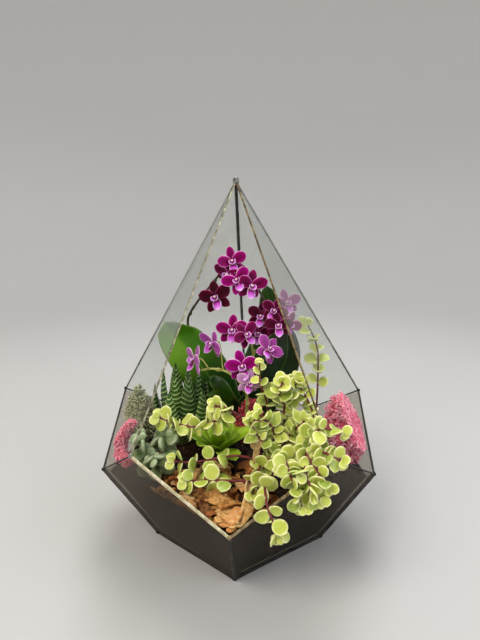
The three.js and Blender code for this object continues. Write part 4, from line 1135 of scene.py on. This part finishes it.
# The least tone of the stems whose leaves are young and pale
FRESH = {"upright": 0.8, "left": 0.5, "tip": 0.5}
POINTED_LEAF = (19, 13, 2.2)
JADE_LEAF = (22, 15.5, 6)
JADE = [
    ([(-82, -72, 94), (-83, -80, 114), (-84, -86, 126)], 3, 1, 0.4, 30),
    ([(-82, -75, 106), (-90, -78, 126), (-97, -82, 146)], 3, 1, 0.35),
    ([(-82, -76, 108), (-75, -75, 130), (-72, -74, 148)], 4, 1, 0.35, 60),
]


def ovate(s):
    return np.interp(s, [0, 0.05, 0.15, 0.3, 0.45, 0.62, 0.8, 0.92, 1],
                     [0.14, 0.34, 0.66, 0.9, 1, 1, 0.84, 0.54, 0])


def pointed(s):
    return np.interp(s, [0, 0.08, 0.2, 0.35, 0.48, 0.62, 0.78, 0.9, 1],
                     [0.16, 0.5, 0.82, 0.98, 1, 0.9, 0.62, 0.3, 0])


def obovate(s):
    return np.interp(s, [0, 0.1, 0.3, 0.5, 0.68, 0.85, 0.95, 1], [0.3, 0.42, 0.68, 0.92, 1, 0.84, 0.5, 0])


def cuts_glass(points, gap=1.6):
    """Whether some points lie on one side of a pane and some on the other, within its outline."""
    for names, normal, distance in PLANES[1:]:
        height = points @ normal - distance
        if height.max() < -gap or height.min() > gap:
            continue
        within = np.ones(len(points), bool)
        for start, _, inward in pane_edges(names, normal):
            within &= (points - CORNERS[start]) @ inward > -2
        if within.any() and (np.abs(height[within]).min() < gap or np.ptp(np.sign(height[within])) > 0):
            return True
    return False


def shoot(body, draw, kind, path, pairs, size, first, phase=0, dense=False, fresh=0.0):
    """A stem with opposite pairs of leaves that turn to the light and clear the glass.

    On a dense plant, smaller pairs grow between the pairs that the solids have.
    """
    leaf_size, shape, cup = kind
    curve = Path(path)
    share = np.linspace(0, 1, int(curve.length / 3.5))
    rod(body, curve.at(share), STEM_RADIUS * (1.12 - 0.42 * share), 8, paint=1)
    toss = dice(len(path) * 97 + pairs * 13 + abs(path[0][0]) + 1)
    young = fresh > 0.7

    def leaf(at, axis, normal, grow, tone, count=16):
        length, width, thick = np.array(leaf_size) * (grow, grow, 1)
        axes = basis(axis, normal)
        reach = [(0, 0), (0.3, 0.5), (0.3, -0.5), (0.7, 0.5), (0.7, -0.5), (1, 0)]
        if cuts_glass(at + np.array(reach) * (length, width) @ axes[:2]):
            return False
        fleshy(body, at, axes, length, width, thick, tone, shape, cup(draw), count)
        return True

    for step in range(0, 2 * pairs - 1, 1 if dense else 2):
        i, between = step / 2, step % 2 == 1
        along = first + (1 - first) * (i + 0.5) / pairs
        way = curve.along(along)
        side = unit(np.cross(way, (0.2, 0.3, 1)))
        shrink = size * (0.8 + 0.3 * i / pairs if young else 1 - 0.2 * i / pairs) * (0.8 if between else 1)
        turn = phase + 90 * i + (draw.uniform(-30, 30) if between else 24 * (toss() - 0.5))
        for half in (0, 180):
            across = turned(side, way, turn + half)
            normal = 0.5 * way + LIGHT + draw.normal(0, 0.4, 3)
            grow, tone = shrink * draw.uniform(0.9, 1.1), draw.uniform(fresh, 1)
            wander = draw.normal(0, 0.12, 3)
            for aside in (0, 28, -28, 56, -56):
                axis = unit(turned(across, way, aside) + 0.35 * way) + wander
                if leaf(curve.at(along), axis, normal, grow, tone):
                    break
    way = curve.along(1.0)
    side = unit(np.cross(way, (0.2, 0.3, 1)))
    for k in range(4):
        across = turned(side, way, 180 * k + 90 * (k // 2) + 40)
        axis = unit(way * (0.9 - 0.3 * (k // 2)) + 0.7 * across)
        grow = size * (1.4 if young else 1) * (0.5 + 0.16 * (k // 2))
        for smaller in (1, 0.7):
            if leaf(curve.at(1.0), axis, LIGHT + 0.3 * across, smaller * grow, 0.85, 12):
                break


def make_trailing():
    draw = default_rng(31)
    skin, dry = variegated_skin(), plain_leaf_skin("dry_leaf", "#7a5c34", "#c4a468", "#d9c08a", 0.7)

    def cup(draw):
        arch, fold, twist = draw.uniform(-2.5, 5), draw.uniform(0.2, 2.8), draw.uniform(-1.4, 1.4)
        return lambda s, t: arch * (s - 0.5) ** 2 + fold * t * t + twist * (s - 0.5) * t - 0.5

    for name, branches in TRAILING.items():
        body = Body()
        kind = (POINTED_LEAF, pointed, cup) if name in POINTED else (LEAF, ovate, cup)
        for branch in branches:
            shoot(body, draw, kind, *branch, dense=name in DENSE, fresh=FRESH.get(name, 0.0))
        for foot, axis, length, width in DRY_LEAVES if name == "heart" else ():
            axes = basis(axis, (0.1, -0.9, 0.4))
            fleshy(body, foot, axes, length, width, 1.2, 0.6, ovate, cup(draw), paint=2)
        body.piece(f"trailing_{name}", [skin, MAROON, dry], "variegated_leaf", [f"trailing_stem_{name}"])


def make_jade():
    draw = default_rng(17)
    body = Body()
    for branch in JADE:
        shoot(body, draw, (JADE_LEAF, obovate, lambda draw: lambda s, t: -1.2 * s * s), *branch)
    skin = plain_leaf_skin("jade_leaf", "#46582e", "#9cab80", "#c2ccaa", 0.38)
    stem = stem_skin("jade_stem", "#4d5a38", "#7d8058")
    body.piece("jade_leaves", [skin, stem], "jade_leaf", ["grey_jade"])


# Assembly

def dress_panes():
    clear, smoked = clear_glass(), smoked_glass()
    for name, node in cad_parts.items():
        if "pane" in name:
            node.data.materials.clear()
            node.data.materials.append(clear if name.startswith("clear") else smoked)


dress_panes()
make_seams()
make_soil()
make_bark()
# Each moss colour runs from its painted shaded depth to its tips
PINK = moss_skin("pink_moss", "#c23258", "#ff668e", "#ffb2c2")
RED = moss_skin("red_moss", "#5a0814", "#a81a2c", "#d8484e")
GREEN = moss_skin("green_moss", "#6a6c44", "#a0a070", "#c8c69a")
make_moss("pink_moss_right", "pink_moss", PINK, ball_shape((125, -12, 130), (26, 27, 45)), 900, 5, 5, 8, 1.2)
make_moss("pink_moss_left", "pink_moss", PINK, roll_shape(ROLL_SPINE, ROLL_SIDE, 7.5), 700, 7, length=3.6)
make_moss("red_moss_middle", "red_moss", RED, ball_shape((14, -2, 130), (15, 12, 32)), 420, 9)
make_moss("green_moss_left", "green_moss", GREEN, ball_shape((-128, 26, 126), (20, 26, 38)), 600, 11)
make_orchid()
make_orchid_leaves()
make_zebra()
make_rosette()
make_jade()
make_trailing()


# Floor and light

LAMPS = (
    ("key", (-0.7, -1.0, 1.5), 0.8, 26, "#fff8ee"),
    ("fill", (1.1, -0.7, 0.9), 0.9, 9, "#eef4ff"),
    ("top", (0.1, 0.5, 1.7), 0.7, 16, "#ffffff"),
)


def make_floor():
    """A round floor that curves up to a wall."""
    curve = [(1500 + 1500 * sin(a), 1500 - 1500 * cos(a)) for a in np.radians(range(9, 91, 9))]
    profile = [(600, 0), (1000, 0), (1500, 0), *curve, (3000, 3400)]
    columns = 96
    turn = around_circle(columns)
    rings = [joined(reach * np.cos(turn), reach * np.sin(turn), height) for reach, height in profile]
    p = Paint("floor")
    away = p.node("VectorMath", {0: p.place}, "Value", operation="LENGTH")
    # Painted shade: the floor is darker near the middle, where the lamps light it most, and paler far off,
    # where their light is weak
    fade = p.calc("ADD", p.calc("MULTIPLY", away, 0.3), p.spread(p.noise(3, 2), 0.3, 0.7, 0.0, 0.03))
    tint = p.ramp(fade, "0.05 #b2b1af, 0.8 #dedddb")
    body = Body()
    body.add([*np.concatenate(rings), (0, 0, 0)], closed(len(rings), columns, True)[:-columns], (0, 0, 0))
    body.built("floor", [p.finish(tint, 0.7)])


def make_light():
    world = bpy.data.worlds.new("studio")
    world.use_nodes = True
    back = world.node_tree.nodes["Background"]
    back.inputs["Color"].default_value = colour("#d4d6d8")
    back.inputs["Strength"].default_value = 0.68
    bpy.context.scene.world = world
    for name, at, size, power, code in LAMPS:
        lamp = bpy.data.lights.new(name, "AREA")
        lamp.size, lamp.energy, lamp.color = size, power, colour(code)[:3]
        obj = added(name, lamp)
        away = unit(np.array(at) - (0, 0, 0.2))
        right = unit(np.cross((0, 1, 0.01), away))
        aim(obj, right, np.cross(away, right), at)
        obj.visible_glossy = name != "key"


make_floor()
make_light()
bpy.context.scene.view_settings.view_transform = "Standard"

bpy.context.view_layer.update()
